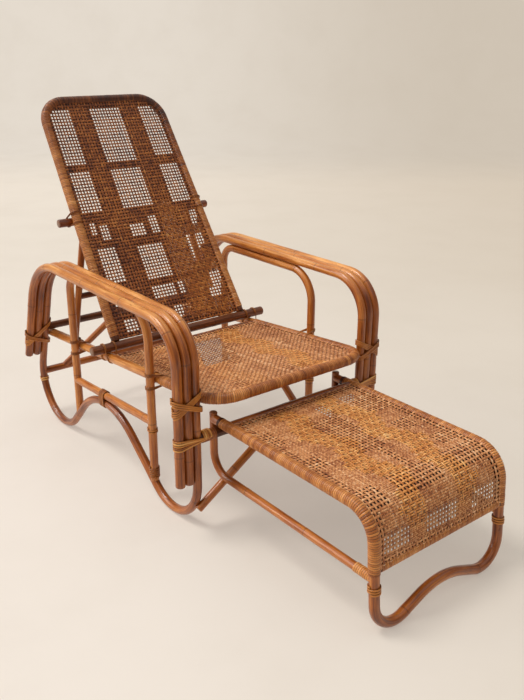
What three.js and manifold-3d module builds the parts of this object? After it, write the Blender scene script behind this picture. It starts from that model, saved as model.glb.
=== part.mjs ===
// Bent rattan lounge chair with a reclining back, a folding prop and a footrest that slides out.
// Lengths are millimetres. X runs across the chair, F is measured forward (it is -Y), Z is up.
import * as THREE from "three";
import Module from "manifold-3d";

const wasm = await Module();
wasm.setup();

// Fits
const SEAT_GAP = 0.3;
const RUNNING_GAP = 0.5;
const FLOOR_WEAR = 0.9;
const OVERRUN = 60;

// Pole radii
const LOOP_R = 12;
const ARM_R = 13;
const LOW_RAIL_R = 11.5;
const SEAT_R = 13;
const SEAT_BAR_R = 11;
const CROSS_R = 12;
const BRACE_R = 11;
const FRONT_CROSS_R = 14;
const HOOP_R = 12.5;
const HINGE_R = 14;
const MID_R = 12.5;
const PROP_R = 10.5;
const PROP_BAR_R = 9.5;
const REST_R = 12.5;
const REST_LOW_R = 10.5;
const REST_BAR_R = 11;

// Side frame: a closed loop bent round five formers
const LOOP_X = 287;
const ARM_Z = 575;
const REAR_FOOT_F = 105;
const REAR_FOOT_BEND = 135;
const HUMP_F = 431;
const HUMP_BEND = 225;
const FRONT_FOOT_F = 780;
const FRONT_FOOT_BEND = 125;
const ARM_FRONT_BEND = 110;
const ARM_REAR_F = 256;
const ARM_REAR_BEND = 200;
const ARM_END_FRONT_Z = 148;
const ARM_END_REAR_Z = 223;

// Arch under the arm, of the same pole as the loop, and the rail between its legs
const ARCH_REAR_F = 239;
const ARCH_FRONT_F = 690;
const ARCH_REAR_BEND = 55;
const ARCH_FRONT_BEND = 90;
const LOW_RAIL_REAR_Z = 203;
const LOW_RAIL_FRONT_Z = 232;

// Seat
const SEAT_Z = 293;
const SEAT_PITCH = THREE.MathUtils.degToRad(5);
const SEAT_OVERHANG = 45;
const SEAT_CORNER_BEND = 75;
const SEAT_BAR_SETBACK = 35;
const WEAVE_THICK = 4;
const WEAVE_RISE = 6;
const WEAVE_CORNER_SHARE = 1 / 3;

// Crossbars and braces
const REAR_LOW_Z = 145;
const BRACE_REAR_INSET = 75;
const BRACE_FRONT_FOOT_Z = 62;
const BRACE_FRONT_DROP = 22;
const BRACE_APEX_SPREAD = 10;

// Back
const HINGE_F = 410;
const HINGE_OVERHANG = 53.3;
const BACK_ANGLE = THREE.MathUtils.degToRad(56);
const BACK_LENGTH = 803;
const HOOP_SIDE_ROOM = 5.2;
const HOOP_LEAN_SHARE = 21 / 725;
const HOOP_CORNER_BEND = 78;
const MID_L = 412;
const MID_OVERHANG = 39;
const MID_LASH_OFFSET = 1.14066;

// Prop
const PROP_INSET = 46;
const PROP_FOOT_F = 195;
const PROP_BAR_DROP = 231;
const EYE_WALL = 4;
const EYE_WIDTH = 20;
const PAD_REAR_F = 172;
const PAD_FRONT_F = 215;
const PAD_HEIGHT = 5;
const PAD_WIDTH = 17;

// Footrest
const REST_SIDE_ROOM = 46.5;
const REST_Z = 295;
const REST_LOW_Z = 143;
const REST_STUB = 6;
const REST_BAR_LEAD = 40;
const REST_REACH = 567;
const REST_BEND = 75;
const REST_LOW_BEND = 58;
const REST_RAKE = THREE.MathUtils.degToRad(4.5);
const REST_FOOT_BEND = 66;
const REST_HUMP_Z = 50;
const REST_HUMP_BEND = 200;
const REST_FRONT_BAR_Z = 166;

// Lashings: flat cane and round cane
const CANE_WIDTH = 3.2;
const CANE_THICK = 1.2;
const CANE_PITCH = 3.9;
const LASH_EASE = 1;
const NOTCH_ROOM = 12;
const CORD_R = 1.3;
const CORD_PITCH = 4.5;
const LASH_TURNS = 3;
const LONG_LASH_TURNS = 4;
const ARCH_SADDLE_TURNS = 2;

// Facets
const POLE_SIDES = 12;
const CORD_SIDES = 4;
const LASH_STEPS = 12;
const SADDLE_STEPS = 4;
const SADDLE_ARCS = 4;
const GAP_SAMPLES = 4;
const BEND_STEP = Math.PI / 14;
const STEP_END_SHARE = 0.3;

// Colours
const HONEY = 0xb5672b;
const DARK_HONEY = 0x8a4a20;
const BROWN = 0x5d3018;
const GOLD = 0xc58a45;
const CANE = 0xc07a3a;
const POLE_ROUGHNESS = 0.55;
const WEAVE_ROUGHNESS = 0.7;
const CANE_ROUGHNESS = 0.6;

// Derived places
const POST_F = FRONT_FOOT_F + FRONT_FOOT_BEND;
const ARM_MIDDLE_X = LOOP_X + LOOP_R + ARM_R + SEAT_GAP;
const ARM_OUTER_X = ARM_MIDDLE_X + 2 * ARM_R + SEAT_GAP;
const POST_R = Math.max(ARM_R, LOOP_R);
const SEAT_X = LOOP_X - LOOP_R - SEAT_R - SEAT_GAP;
const HINGE_BAR_X = SEAT_X + HINGE_OVERHANG;
const HOOP_BOTTOM_X = SEAT_X - SEAT_R - HOOP_R - HOOP_SIDE_ROOM;
const HOOP_CORNER_L = BACK_LENGTH - HOOP_CORNER_BEND;
const HOOP_TOP_X = HOOP_BOTTOM_X - HOOP_CORNER_L * HOOP_LEAN_SHARE;
const MID_X = HOOP_BOTTOM_X + MID_OVERHANG;
const PROP_TOP_X = HOOP_BOTTOM_X - PROP_INSET;
const BRACE_REAR_FOOT_X = LOOP_X - BRACE_REAR_INSET;
const SEAT_FRONT_F = POST_F + SEAT_OVERHANG;
const LOOP_FOOT_Z = LOOP_R - FLOOR_WEAR;
const REST_FOOT_Z = REST_R - FLOOR_WEAR;
const REST_X = LOOP_X - LOOP_R - REST_R - REST_SIDE_ROOM;
const FRONT_CROSS_Z = REST_Z - REST_R - FRONT_CROSS_R - SEAT_GAP;
const REST_BACK_F = POST_F - FRONT_CROSS_R - REST_LOW_R - SEAT_GAP;
const REST_FOOT_F = POST_F + REST_REACH;
const REST_FOOT_X = REST_X - REST_FOOT_BEND;
const CLEAR = CANE_WIDTH / 2 + SEAT_GAP;
const NOTCH = LOOP_R + NOTCH_ROOM;

const chair = new THREE.Group();
chair.name = "rattan_lounge_chair";

// A point from its place across, forward and up
const at = (x, f, z) => new THREE.Vector3(x, -f, z);
const seatZ = (f) => SEAT_Z + f * Math.tan(SEAT_PITCH);

// Solids
function solidOf(rings, closed) {
  const sides = rings[0].length;
  const count = rings.length;
  const index = [];
  const id = (i, k) => (i % count) * sides + (k % sides);
  const spans = closed ? count : count - 1;
  for (let i = 0; i < spans; i++)
    for (let k = 0; k < sides; k++) {
      index.push(id(i, k), id(i, k + 1), id(i + 1, k + 1));
      index.push(id(i, k), id(i + 1, k + 1), id(i + 1, k));
    }
  if (!closed)
    for (let k = 1; k < sides - 1; k++) {
      index.push(id(0, 0), id(0, k + 1), id(0, k));
      index.push(id(count - 1, 0), id(count - 1, k), id(count - 1, k + 1));
    }
  const vertices = new Float32Array(rings.flat().flatMap((p) => [p.x, p.y, p.z]));
  const made = (triVerts) =>
    new wasm.Manifold(new wasm.Mesh({ numProp: 3, vertProperties: vertices, triVerts }));
  const body = made(new Uint32Array(index));
  return body.volume() > 0 ? body : made(new Uint32Array(index.reverse()));
}

// Directions of travel at each point of a route
function tangents(route, closed) {
  const last = route.length - 1;
  return route.map((p, i) => {
    const before = i > 0 ? route[i - 1] : closed ? route[last] : p;
    const after = i < last ? route[i + 1] : closed ? route[0] : p;
    const into = p.clone().sub(before).normalize();
    const out = after.clone().sub(p).normalize();
    return into.add(out).normalize();
  });
}

// A round pole along a route, its first edge turned towards up
function pole(route, radius, up, closed = false, sides = POLE_SIDES) {
  const ways = tangents(route, closed);
  const normal = up.clone();
  const rings = route.map((p, i) => {
    normal.addScaledVector(ways[i], -normal.dot(ways[i])).normalize();
    const side = ways[i].clone().cross(normal);
    return Array.from({ length: sides }, (_, k) => {
      const turn = (2 * Math.PI * k) / sides;
      return p
        .clone()
        .addScaledVector(normal, radius * Math.cos(turn))
        .addScaledVector(side, radius * Math.sin(turn));
    });
  });
  return solidOf(rings, closed);
}

// A flat strand along a route whose outward directions are known
function strand(route, outward) {
  const ways = tangents(route, false);
  const rings = route.map((p, i) => {
    const out = outward[i].clone();
    out.addScaledVector(ways[i], -out.dot(ways[i])).normalize();
    const across = ways[i].clone().cross(out);
    const corner = (t, w) =>
      p
        .clone()
        .addScaledVector(out, (t * CANE_THICK) / 2)
        .addScaledVector(across, (w * CANE_WIDTH) / 2);
    return [corner(1, -1), corner(1, 1), corner(-1, 1), corner(-1, -1)];
  });
  return solidOf(rings, false);
}

// The largest body left after cutting
function cut(body, ...cutters) {
  const left = cutters.reduce((rest, cutter) => rest.subtract(cutter), body);
  const pieces = left.decompose();
  pieces.sort((a, b) => b.volume() - a.volume());
  return pieces[0];
}

function add(name, body, color, roughness = POLE_ROUGHNESS) {
  const { vertProperties, triVerts, numProp, numVert } = body.getMesh();
  const positions = new Float32Array(numVert * 3);
  for (let i = 0; i < numVert; i++)
    positions.set(vertProperties.subarray(i * numProp, i * numProp + 3), i * 3);
  const geometry = new THREE.BufferGeometry();
  geometry.setAttribute("position", new THREE.BufferAttribute(positions, 3));
  geometry.setIndex(new THREE.BufferAttribute(triVerts, 1));
  geometry.computeVertexNormals();
  const mesh = new THREE.Mesh(geometry, new THREE.MeshStandardMaterial({ color, roughness }));
  mesh.name = name;
  chair.add(mesh);
  return body;
}

// Bends: a flat route that runs tangent from former to former, left turns positive
// A former is { c: [u, v], r: signed bend radius }, and an end is one with r 0
function tangentBetween(a, b) {
  const span = [b.c[0] - a.c[0], b.c[1] - a.c[1]];
  const length = Math.hypot(...span);
  const along = [span[0] / length, span[1] / length];
  const lean = (b.r - a.r) / length;
  const rest = Math.sqrt(1 - lean * lean);
  const normal = [lean * along[0] - rest * along[1], lean * along[1] + rest * along[0]];
  const touch = (former) => [former.c[0] - normal[0] * former.r, former.c[1] - normal[1] * former.r];
  return { from: touch(a), to: touch(b) };
}

function bent(formers, closed = false) {
  const count = formers.length;
  const lines = formers.map((former, i) =>
    i < count - 1 || closed ? tangentBetween(former, formers[(i + 1) % count]) : null,
  );
  const route = [];
  formers.forEach((former, i) => {
    const inward = i > 0 || closed ? lines[(i + count - 1) % count].to : former.c;
    const outward = lines[i] ? lines[i].from : former.c;
    if (former.r === 0) {
      route.push(former.c);
      return;
    }
    const start = Math.atan2(inward[1] - former.c[1], inward[0] - former.c[0]);
    const finish = Math.atan2(outward[1] - former.c[1], outward[0] - former.c[0]);
    const sense = Math.sign(former.r);
    const sweep = (((finish - start) * sense) % (2 * Math.PI) + 2 * Math.PI) % (2 * Math.PI);
    const ends = [start, start + sense * sweep];
    const between = [];
    const first = Math.ceil(Math.min(...ends) / BEND_STEP + STEP_END_SHARE);
    const last = Math.floor(Math.max(...ends) / BEND_STEP - STEP_END_SHARE);
    for (let k = first; k <= last; k++) between.push(k * BEND_STEP);
    if (sense < 0) between.reverse();
    const radius = Math.abs(former.r);
    for (const turn of [ends[0], ...between, ends[1]])
      route.push([former.c[0] + radius * Math.cos(turn), former.c[1] + radius * Math.sin(turn)]);
  });
  return route;
}

// Where a flat route crosses a height, first crossing from its start or its end
function crossing(route, height, fromEnd = false) {
  const order = fromEnd ? [...route].reverse() : route;
  const i = order.findIndex((p, k) => k > 0 && (p[1] - height) * (order[k - 1][1] - height) <= 0);
  const [a, b] = [order[i - 1], order[i]];
  const share = (height - a[1]) / (b[1] - a[1]);
  return a[0] + (b[0] - a[0]) * share;
}

// Side frames

const lowRailSlope = (LOW_RAIL_FRONT_Z - LOW_RAIL_REAR_Z) / (ARCH_FRONT_F - ARCH_REAR_F);
const lowRailZ = (f) => LOW_RAIL_REAR_Z + (f - ARCH_REAR_F) * lowRailSlope;
const humpReach = HUMP_BEND + LOW_RAIL_R + LOOP_R + LASH_EASE;
const humpZ = lowRailZ(HUMP_F) - humpReach * Math.hypot(1, lowRailSlope);
const humpTouchF = HUMP_F - (humpReach * lowRailSlope) / Math.hypot(1, lowRailSlope);

const armFront = { c: [POST_F - ARM_FRONT_BEND, ARM_Z - ARM_FRONT_BEND], r: ARM_FRONT_BEND };
const armRear = { c: [ARM_REAR_F, ARM_Z - ARM_REAR_BEND], r: ARM_REAR_BEND };
const rearFoot = { c: [REAR_FOOT_F, LOOP_FOOT_Z + REAR_FOOT_BEND], r: REAR_FOOT_BEND };
const frontFoot = { c: [FRONT_FOOT_F, LOOP_FOOT_Z + FRONT_FOOT_BEND], r: FRONT_FOOT_BEND };
const hump = { c: [HUMP_F, humpZ], r: -HUMP_BEND };
const loopRoute = bent([rearFoot, hump, frontFoot, armFront, armRear], true);
const runnerRoute = bent([rearFoot, hump, frontFoot, armFront]);
const rearPost = tangentBetween(armRear, rearFoot);
const rearRoute = bent([armRear, rearFoot, hump]);
const rearPostF = (z) => crossing(rearRoute, z);

const sideRoute = (route, x) => route.map(([f, z]) => at(x, f, z));
const ACROSS = new THREE.Vector3(1, 0, 0);
const UP = new THREE.Vector3(0, 0, 1);
const FORWARD = new THREE.Vector3(0, -1, 0);

const floorCut = wasm.Manifold.cube(
  [4 * ARM_OUTER_X, 4 * REST_FOOT_F, 2 * OVERRUN],
  true,
).translate([0, 0, -OVERRUN]);

function armRoute() {
  const rearEnd = { c: [rearPostF(ARM_END_REAR_Z), ARM_END_REAR_Z], r: 0 };
  const frontEnd = { c: [POST_F, ARM_END_FRONT_Z], r: 0 };
  return bent([frontEnd, armFront, armRear, rearEnd]);
}

function archRoute() {
  const top = ARM_Z - 2 * LOOP_R - SEAT_GAP;
  const front = { c: [ARCH_FRONT_F - ARCH_FRONT_BEND, top - ARCH_FRONT_BEND], r: ARCH_FRONT_BEND };
  const rear = { c: [ARCH_REAR_F + ARCH_REAR_BEND, top - ARCH_REAR_BEND], r: ARCH_REAR_BEND };
  const frontEnd = { c: [ARCH_FRONT_F, crossingRunner(ARCH_FRONT_F)], r: 0 };
  const rearEnd = { c: [ARCH_REAR_F, crossingRunner(ARCH_REAR_F)], r: 0 };
  return bent([frontEnd, front, rear, rearEnd]);
}

// Height of the runner at a place forward
function crossingRunner(f) {
  return crossing(runnerRoute.map(([u, v]) => [v, u]), f);
}

const side = (k) => (k < 0 ? "right" : "left");

function sideFrame(k) {
  const x = k * LOOP_X;
  const loop = pole(sideRoute(loopRoute, x), LOOP_R, ACROSS, true);
  add(`arm_loop_${side(k)}`, cut(loop, floorCut), HONEY);
  add(`arm_middle_${side(k)}`, pole(sideRoute(armRoute(), k * ARM_MIDDLE_X), ARM_R, ACROSS), HONEY);
  add(`arm_outer_${side(k)}`, pole(sideRoute(armRoute(), k * ARM_OUTER_X), ARM_R, ACROSS), HONEY);

  const loopCutter = pole(sideRoute(loopRoute, x), LOOP_R + SEAT_GAP, ACROSS, true);
  const arch = pole(sideRoute(archRoute(), x), LOOP_R, ACROSS);
  add(`arch_${side(k)}`, cut(arch, loopCutter), HONEY);

  const archCutter = pole(sideRoute(archRoute(), x), LOOP_R + SEAT_GAP, ACROSS);
  const ends = [ARCH_REAR_F, ARCH_FRONT_F].map((f) => at(x, f, lowRailZ(f)));
  add(`side_rail_${side(k)}`, cut(pole(ends, LOW_RAIL_R, ACROSS), archCutter, loopCutter), HONEY);
}

// Seat

function seatRoute() {
  const plan = bent([
    { c: [-SEAT_X, 0], r: 0 },
    { c: [-SEAT_X + SEAT_CORNER_BEND, SEAT_FRONT_F - SEAT_CORNER_BEND], r: -SEAT_CORNER_BEND },
    { c: [SEAT_X - SEAT_CORNER_BEND, SEAT_FRONT_F - SEAT_CORNER_BEND], r: -SEAT_CORNER_BEND },
    { c: [SEAT_X, 0], r: 0 },
  ]);
  return plan.map(([x, f]) => at(x, f, seatZ(f)));
}

const SEAT_UP = new THREE.Vector3(0, Math.sin(SEAT_PITCH), Math.cos(SEAT_PITCH));

// Room in a woven panel's edge for a lashing
function notch(centre) {
  return wasm.Manifold.cube([2 * NOTCH, 2 * NOTCH, 2 * NOTCH], true).translate(centre.toArray());
}

// A flat sheet through its corners, thick along its normal
function sheet(corners, normal, thick) {
  const moved = (t) => corners.map((p) => p.clone().addScaledVector(normal, t));
  return solidOf([moved(-thick / 2), moved(thick / 2)], false);
}

function seat() {
  add("seat_frame", pole(seatRoute(), SEAT_R, SEAT_UP), DARK_HONEY);

  const railCutter = pole(seatRoute(), SEAT_R + SEAT_GAP, SEAT_UP);
  const barF = HINGE_F + SEAT_BAR_SETBACK;
  const barEnds = [-SEAT_X, SEAT_X].map((x) => at(x, barF, seatZ(barF)));
  add("seat_rear_bar", cut(pole(barEnds, SEAT_BAR_R, SEAT_UP), railCutter), DARK_HONEY);

  const barCutter = pole(barEnds, SEAT_BAR_R + SEAT_GAP, SEAT_UP);
  const edge = SEAT_X - SEAT_R / 2;
  const inset = SEAT_CORNER_BEND * WEAVE_CORNER_SHARE;
  const corner = (x, f) => at(x, f, seatZ(f)).addScaledVector(SEAT_UP, WEAVE_RISE);
  const corners = [
    corner(-edge, barF),
    corner(-edge, SEAT_FRONT_F - inset),
    corner(-edge + inset, SEAT_FRONT_F),
    corner(edge - inset, SEAT_FRONT_F),
    corner(edge, SEAT_FRONT_F - inset),
    corner(edge, barF),
  ];
  const weave = sheet(corners, SEAT_UP, WEAVE_THICK);
  const notches = [-1, 1].map((k) => notch(at(k * SEAT_X, ARCH_FRONT_F, seatZ(ARCH_FRONT_F))));
  add("seat_weave", cut(weave, railCutter, barCutter, ...notches), GOLD, WEAVE_ROUGHNESS);
}

// Crossbars and braces

const rearHighF = rearPostF(seatZ(rearPostF(SEAT_Z)) + SEAT_R + CROSS_R);
const rearHighZ = seatZ(rearHighF) + (SEAT_R + CROSS_R + SEAT_GAP) / Math.cos(SEAT_PITCH);
const rearLowF = rearPostF(REAR_LOW_Z);

function crossbars() {
  const loops = [-1, 1].map((k) =>
    pole(sideRoute(loopRoute, k * LOOP_X), LOOP_R + SEAT_GAP, ACROSS, true),
  );
  const bar = (f, z) => [at(-LOOP_X, f, z), at(LOOP_X, f, z)];
  const rearHigh = bar(rearHighF, rearHighZ);
  const rearLow = bar(rearLowF, REAR_LOW_Z);
  const front = bar(POST_F, FRONT_CROSS_Z);
  add("rear_crossbar_upper", cut(pole(rearHigh, CROSS_R, UP), ...loops), BROWN);
  add("rear_crossbar_lower", cut(pole(rearLow, CROSS_R, UP), ...loops), BROWN);
  add("front_crossbar", cut(pole(front, FRONT_CROSS_R, UP), ...loops), DARK_HONEY);

  const highCutter = pole(rearHigh, CROSS_R + SEAT_GAP, UP);
  const lowCutter = pole(rearLow, CROSS_R + SEAT_GAP, UP);
  const frontCutter = pole(front, FRONT_CROSS_R + SEAT_GAP, UP);
  const middle = sheet(
    [
      at(0, -OVERRUN, 0),
      at(0, POST_F + OVERRUN, 0),
      at(0, POST_F + OVERRUN, ARM_Z),
      at(0, -OVERRUN, ARM_Z),
    ],
    ACROSS,
    SEAT_GAP,
  );
  for (const k of [-1, 1]) {
    const rearFootPoint = at(k * BRACE_REAR_FOOT_X, rearLowF, REAR_LOW_Z);
    const rearApex = at(k * BRACE_APEX_SPREAD, rearHighF, rearHighZ);
    const rearBrace = pole([rearFootPoint, rearApex], BRACE_R, FORWARD);
    add(`rear_brace_${side(k)}`, cut(rearBrace, highCutter, lowCutter, middle), HONEY);
    const foot = at(k * LOOP_X, POST_F, BRACE_FRONT_FOOT_Z);
    const apex = at(k * BRACE_APEX_SPREAD, POST_F, FRONT_CROSS_Z - BRACE_FRONT_DROP);
    const frontBrace = pole([foot, apex], BRACE_R, FORWARD);
    add(`front_brace_${side(k)}`, cut(frontBrace, frontCutter, ...loops, middle), HONEY);
  }
}

// Back, in its own plane: L runs up from the hinge bar, N stands off towards the sitter

const hingeZ = seatZ(HINGE_F) + (SEAT_R + SEAT_GAP + HINGE_R) / Math.cos(SEAT_PITCH);
const BACK_UP = new THREE.Vector3(0, Math.cos(BACK_ANGLE), Math.sin(BACK_ANGLE));
const BACK_OUT = new THREE.Vector3(0, -Math.sin(BACK_ANGLE), Math.cos(BACK_ANGLE));
const midOffset = -(HOOP_R + MID_R + SEAT_GAP);
const onBack = (x, l, n) =>
  at(x, HINGE_F, hingeZ).addScaledVector(BACK_UP, l).addScaledVector(BACK_OUT, n);

const hoopPlan = bent([
  { c: [-HOOP_BOTTOM_X, 0], r: 0 },
  { c: [-HOOP_TOP_X + HOOP_CORNER_BEND, HOOP_CORNER_L], r: -HOOP_CORNER_BEND },
  { c: [HOOP_TOP_X - HOOP_CORNER_BEND, HOOP_CORNER_L], r: -HOOP_CORNER_BEND },
  { c: [HOOP_BOTTOM_X, 0], r: 0 },
]);
const hoopRoute = hoopPlan.map(([x, l]) => onBack(x, l, 0));

// The middle pole's lashing sits a little outside the middle of the hoop's rail
const midLashX = -crossing(hoopPlan, MID_L) + MID_LASH_OFFSET;
const midEnds = [onBack(-MID_X, MID_L, midOffset), onBack(MID_X, MID_L, midOffset)];

function back() {
  const barEnds = [-HINGE_BAR_X, HINGE_BAR_X].map((x) => at(x, HINGE_F, hingeZ));
  add("back_hinge_bar", pole(barEnds, HINGE_R, BACK_UP), BROWN);
  const barCutter = pole(barEnds, HINGE_R + SEAT_GAP, BACK_UP);
  add("back_hoop", cut(pole(hoopRoute, HOOP_R, BACK_OUT), barCutter), DARK_HONEY);
  add("back_mid_pole", pole(midEnds, MID_R, BACK_OUT), DARK_HONEY);

  const hoopCutter = pole(hoopRoute, HOOP_R + SEAT_GAP, BACK_OUT);
  const rise = WEAVE_RISE - WEAVE_THICK / 2;
  const inset = HOOP_CORNER_BEND * WEAVE_CORNER_SHARE;
  const corners = [
    onBack(HOOP_BOTTOM_X, 0, rise),
    onBack(HOOP_TOP_X, BACK_LENGTH - inset, rise),
    onBack(HOOP_TOP_X - inset, BACK_LENGTH, rise),
    onBack(-HOOP_TOP_X + inset, BACK_LENGTH, rise),
    onBack(-HOOP_TOP_X, BACK_LENGTH - inset, rise),
    onBack(-HOOP_BOTTOM_X, 0, rise),
  ];
  const notches = [-1, 1].map((k) => notch(onBack(k * midLashX, MID_L, 0)));
  const weave = sheet(corners, BACK_OUT, WEAVE_THICK);
  add("back_weave", cut(weave, hoopCutter, barCutter, ...notches), DARK_HONEY, WEAVE_ROUGHNESS);
}

// Prop: two legs with eyes round the middle pole, standing on pads on the seat rails

function prop() {
  const centre = onBack(0, MID_L, midOffset);
  const padTop = SEAT_R + PAD_HEIGHT + SEAT_GAP;
  const foot = (k) => at(k * SEAT_X, PROP_FOOT_F, seatZ(PROP_FOOT_F)).addScaledVector(SEAT_UP, padTop);
  const legRoute = (k) => {
    const top = centre.clone().setX(k * PROP_TOP_X);
    const bottom = foot(k);
    const beyond = bottom.clone().sub(top).normalize().multiplyScalar(PROP_R);
    return [top, bottom.add(beyond)];
  };
  const past = OVERRUN * Math.tan(SEAT_PITCH);
  const belowCorners = [
    [1, 1],
    [1, -1],
    [-1, -1],
    [-1, 1],
  ].map(([across, ahead]) => {
    const corner = foot(across).add(at(across * OVERRUN, ahead * OVERRUN, ahead * past));
    return corner.addScaledVector(SEAT_UP, -OVERRUN / 2);
  });
  const below = sheet(belowCorners, SEAT_UP, OVERRUN);
  const bore = pole(midEnds, MID_R + RUNNING_GAP, BACK_OUT);
  for (const k of [-1, 1]) {
    const eyeEnds = [-1, 1].map((e) => centre.clone().setX(k * PROP_TOP_X + (e * EYE_WIDTH) / 2));
    const eye = pole(eyeEnds, MID_R + RUNNING_GAP + EYE_WALL, BACK_OUT);
    const leg = pole(legRoute(k), PROP_R, ACROSS).add(eye);
    add(`prop_leg_${side(k)}`, cut(leg, bore, below), HONEY);

    const padCorners = [
      [-1, PAD_REAR_F],
      [1, PAD_REAR_F],
      [1, PAD_FRONT_F],
      [-1, PAD_FRONT_F],
    ].map(([e, f]) => {
      const middle = at(k * SEAT_X + (e * PAD_WIDTH) / 2, f, seatZ(f));
      return middle.addScaledVector(SEAT_UP, (SEAT_R + PAD_HEIGHT) / 2);
    });
    const rails = pole(seatRoute(), SEAT_R + SEAT_GAP, SEAT_UP);
    add(`prop_pad_${side(k)}`, cut(sheet(padCorners, SEAT_UP, SEAT_R + PAD_HEIGHT), rails), BROWN);
  }
  const [top, bottom] = legRoute(1);
  const share = PROP_BAR_DROP / (top.z - bottom.z);
  const hold = (k) => {
    const [a, b] = legRoute(k);
    return a.lerp(b, share);
  };
  const legCutters = [-1, 1].map((k) => pole(legRoute(k), PROP_R + SEAT_GAP, ACROSS));
  add("prop_crossbar", cut(pole([hold(-1), hold(1)], PROP_BAR_R, BACK_OUT), ...legCutters), DARK_HONEY);
}

// Footrest

const restLegF = (z) => REST_FOOT_F - (z - REST_FOOT_Z) * Math.tan(REST_RAKE);

function restSideRoute() {
  const bendF = restLegF(REST_Z) - REST_BEND * Math.tan(Math.PI / 4 - REST_RAKE / 2);
  return bent([
    { c: [REST_BACK_F, REST_Z], r: 0 },
    { c: [bendF, REST_Z - REST_BEND], r: -REST_BEND },
    { c: [restLegF(REST_LOW_Z), REST_LOW_Z], r: 0 },
  ]);
}

function restFootRoute() {
  const footZ = REST_FOOT_Z + REST_FOOT_BEND;
  return bent([
    { c: [-REST_X, REST_LOW_Z], r: 0 },
    { c: [-REST_FOOT_X, footZ], r: REST_FOOT_BEND },
    { c: [0, REST_HUMP_Z - REST_HUMP_BEND], r: -REST_HUMP_BEND },
    { c: [REST_FOOT_X, footZ], r: REST_FOOT_BEND },
    { c: [REST_X, REST_LOW_Z], r: 0 },
  ]);
}

function restFrameRoute() {
  const down = restSideRoute().map(([f, z]) => at(-REST_X, f, z));
  const foot = restFootRoute().map(([x, z]) => at(x, restLegF(z), z));
  const up = restSideRoute()
    .map(([f, z]) => at(REST_X, f, z))
    .reverse();
  return [...down, ...foot.slice(1, -1), ...up];
}

function restLowRoute(k) {
  const plan = bent([
    { c: [REST_BACK_F, REST_Z + REST_R + REST_STUB], r: 0 },
    { c: [REST_BACK_F + REST_LOW_BEND, REST_LOW_Z + REST_LOW_BEND], r: REST_LOW_BEND },
    { c: [restLegF(REST_LOW_Z), REST_LOW_Z], r: 0 },
  ]);
  return plan.map(([f, z]) => at(k * REST_X, f, z));
}

// The panel follows the rails from the rear bar over the bend to the front bar
function restPanel(barF) {
  const bar = { c: [restLegF(REST_FRONT_BAR_Z), REST_FRONT_BAR_Z], r: 0 };
  const bendStart = restSideRoute()[1][0];
  const plan = bent([
    { c: [barF, REST_Z], r: 0 },
    { c: [bendStart, REST_Z - REST_BEND], r: -REST_BEND },
    bar,
  ]);
  const route = plan.map(([f, z]) => at(0, f, z));
  const ways = tangents(route, false);
  const half = REST_X - REST_R / 2;
  const rings = route.map((p, i) => {
    const out = ACROSS.clone().negate().cross(ways[i]).normalize();
    if (out.z < 0) out.negate();
    const low = p.clone().addScaledVector(out, WEAVE_RISE - WEAVE_THICK / 2);
    const high = p.clone().addScaledVector(out, WEAVE_RISE + WEAVE_THICK / 2);
    const corner = (edge, x) => edge.clone().setX(x);
    return [corner(low, half), corner(high, half), corner(high, -half), corner(low, -half)];
  });
  return solidOf(rings, false);
}

function footrest() {
  const frame = restFrameRoute();
  const lows = [-1, 1].map((k) => pole(restLowRoute(k), REST_LOW_R + SEAT_GAP, ACROSS));
  add("footrest_frame", cut(pole(frame, REST_R, ACROSS), floorCut, ...lows), DARK_HONEY);
  const frameCutter = pole(frame, REST_R + SEAT_GAP, ACROSS);
  for (const k of [-1, 1]) {
    const low = pole(restLowRoute(k), REST_LOW_R, ACROSS);
    const legCutter = cut(frameCutter, restRearKeep());
    add(`footrest_low_rail_${side(k)}`, cut(low, legCutter), HONEY);
  }
  const barF = POST_F + REST_BAR_LEAD;
  const rearBar = [at(-REST_X, barF, REST_Z), at(REST_X, barF, REST_Z)];
  const frontF = restLegF(REST_FRONT_BAR_Z);
  const frontBar = [at(-REST_X, frontF, REST_FRONT_BAR_Z), at(REST_X, frontF, REST_FRONT_BAR_Z)];
  add("footrest_rear_bar", cut(pole(rearBar, REST_BAR_R, UP), frameCutter), BROWN);
  add("footrest_front_bar", cut(pole(frontBar, REST_BAR_R, UP), frameCutter), DARK_HONEY);
  const rearCutter = pole(rearBar, REST_BAR_R + SEAT_GAP, UP);
  const frontCutter = pole(frontBar, REST_BAR_R + SEAT_GAP, UP);
  add("footrest_weave", cut(restPanel(barF), frameCutter, rearCutter, frontCutter), GOLD, WEAVE_ROUGHNESS);
}

// Space round the rear posts of the footrest, which the rail ends are coped to
function restRearKeep() {
  const size = [4 * REST_X, 4 * REST_LOW_R, 4 * REST_Z];
  return wasm.Manifold.cube(size, true).translate([0, -REST_BACK_F, 0]);
}

// Lashings

// Flat cane wound round one or more poles side by side
// base: middle of the bundle; axis, u, v: its directions; half: half the spread of the pole centres along u
function windingPath({ base, axis, u, v, half, radius, turns, pitch, start, tilt = 0, spread = 0 }) {
  const route = [];
  const outward = [];
  const reach = (radius + CANE_THICK / 2 + SEAT_GAP) / Math.cos(Math.PI / LASH_STEPS);
  for (let j = 0; j <= turns * LASH_STEPS; j++) {
    const turn = (2 * Math.PI * (j + 0.5)) / LASH_STEPS;
    const rise = start + (pitch * j) / LASH_STEPS;
    const wide = half + spread * rise;
    const across = Math.sign(Math.cos(turn)) * wide + reach * Math.cos(turn);
    const lean = (tilt * (wide + reach - across)) / (2 * (wide + reach));
    route.push(
      base
        .clone()
        .addScaledVector(u, across)
        .addScaledVector(v, reach * Math.sin(turn))
        .addScaledVector(axis, rise + lean),
    );
    outward.push(u.clone().multiplyScalar(Math.cos(turn)).addScaledVector(v, Math.sin(turn)));
  }
  return { route, outward };
}

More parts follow.
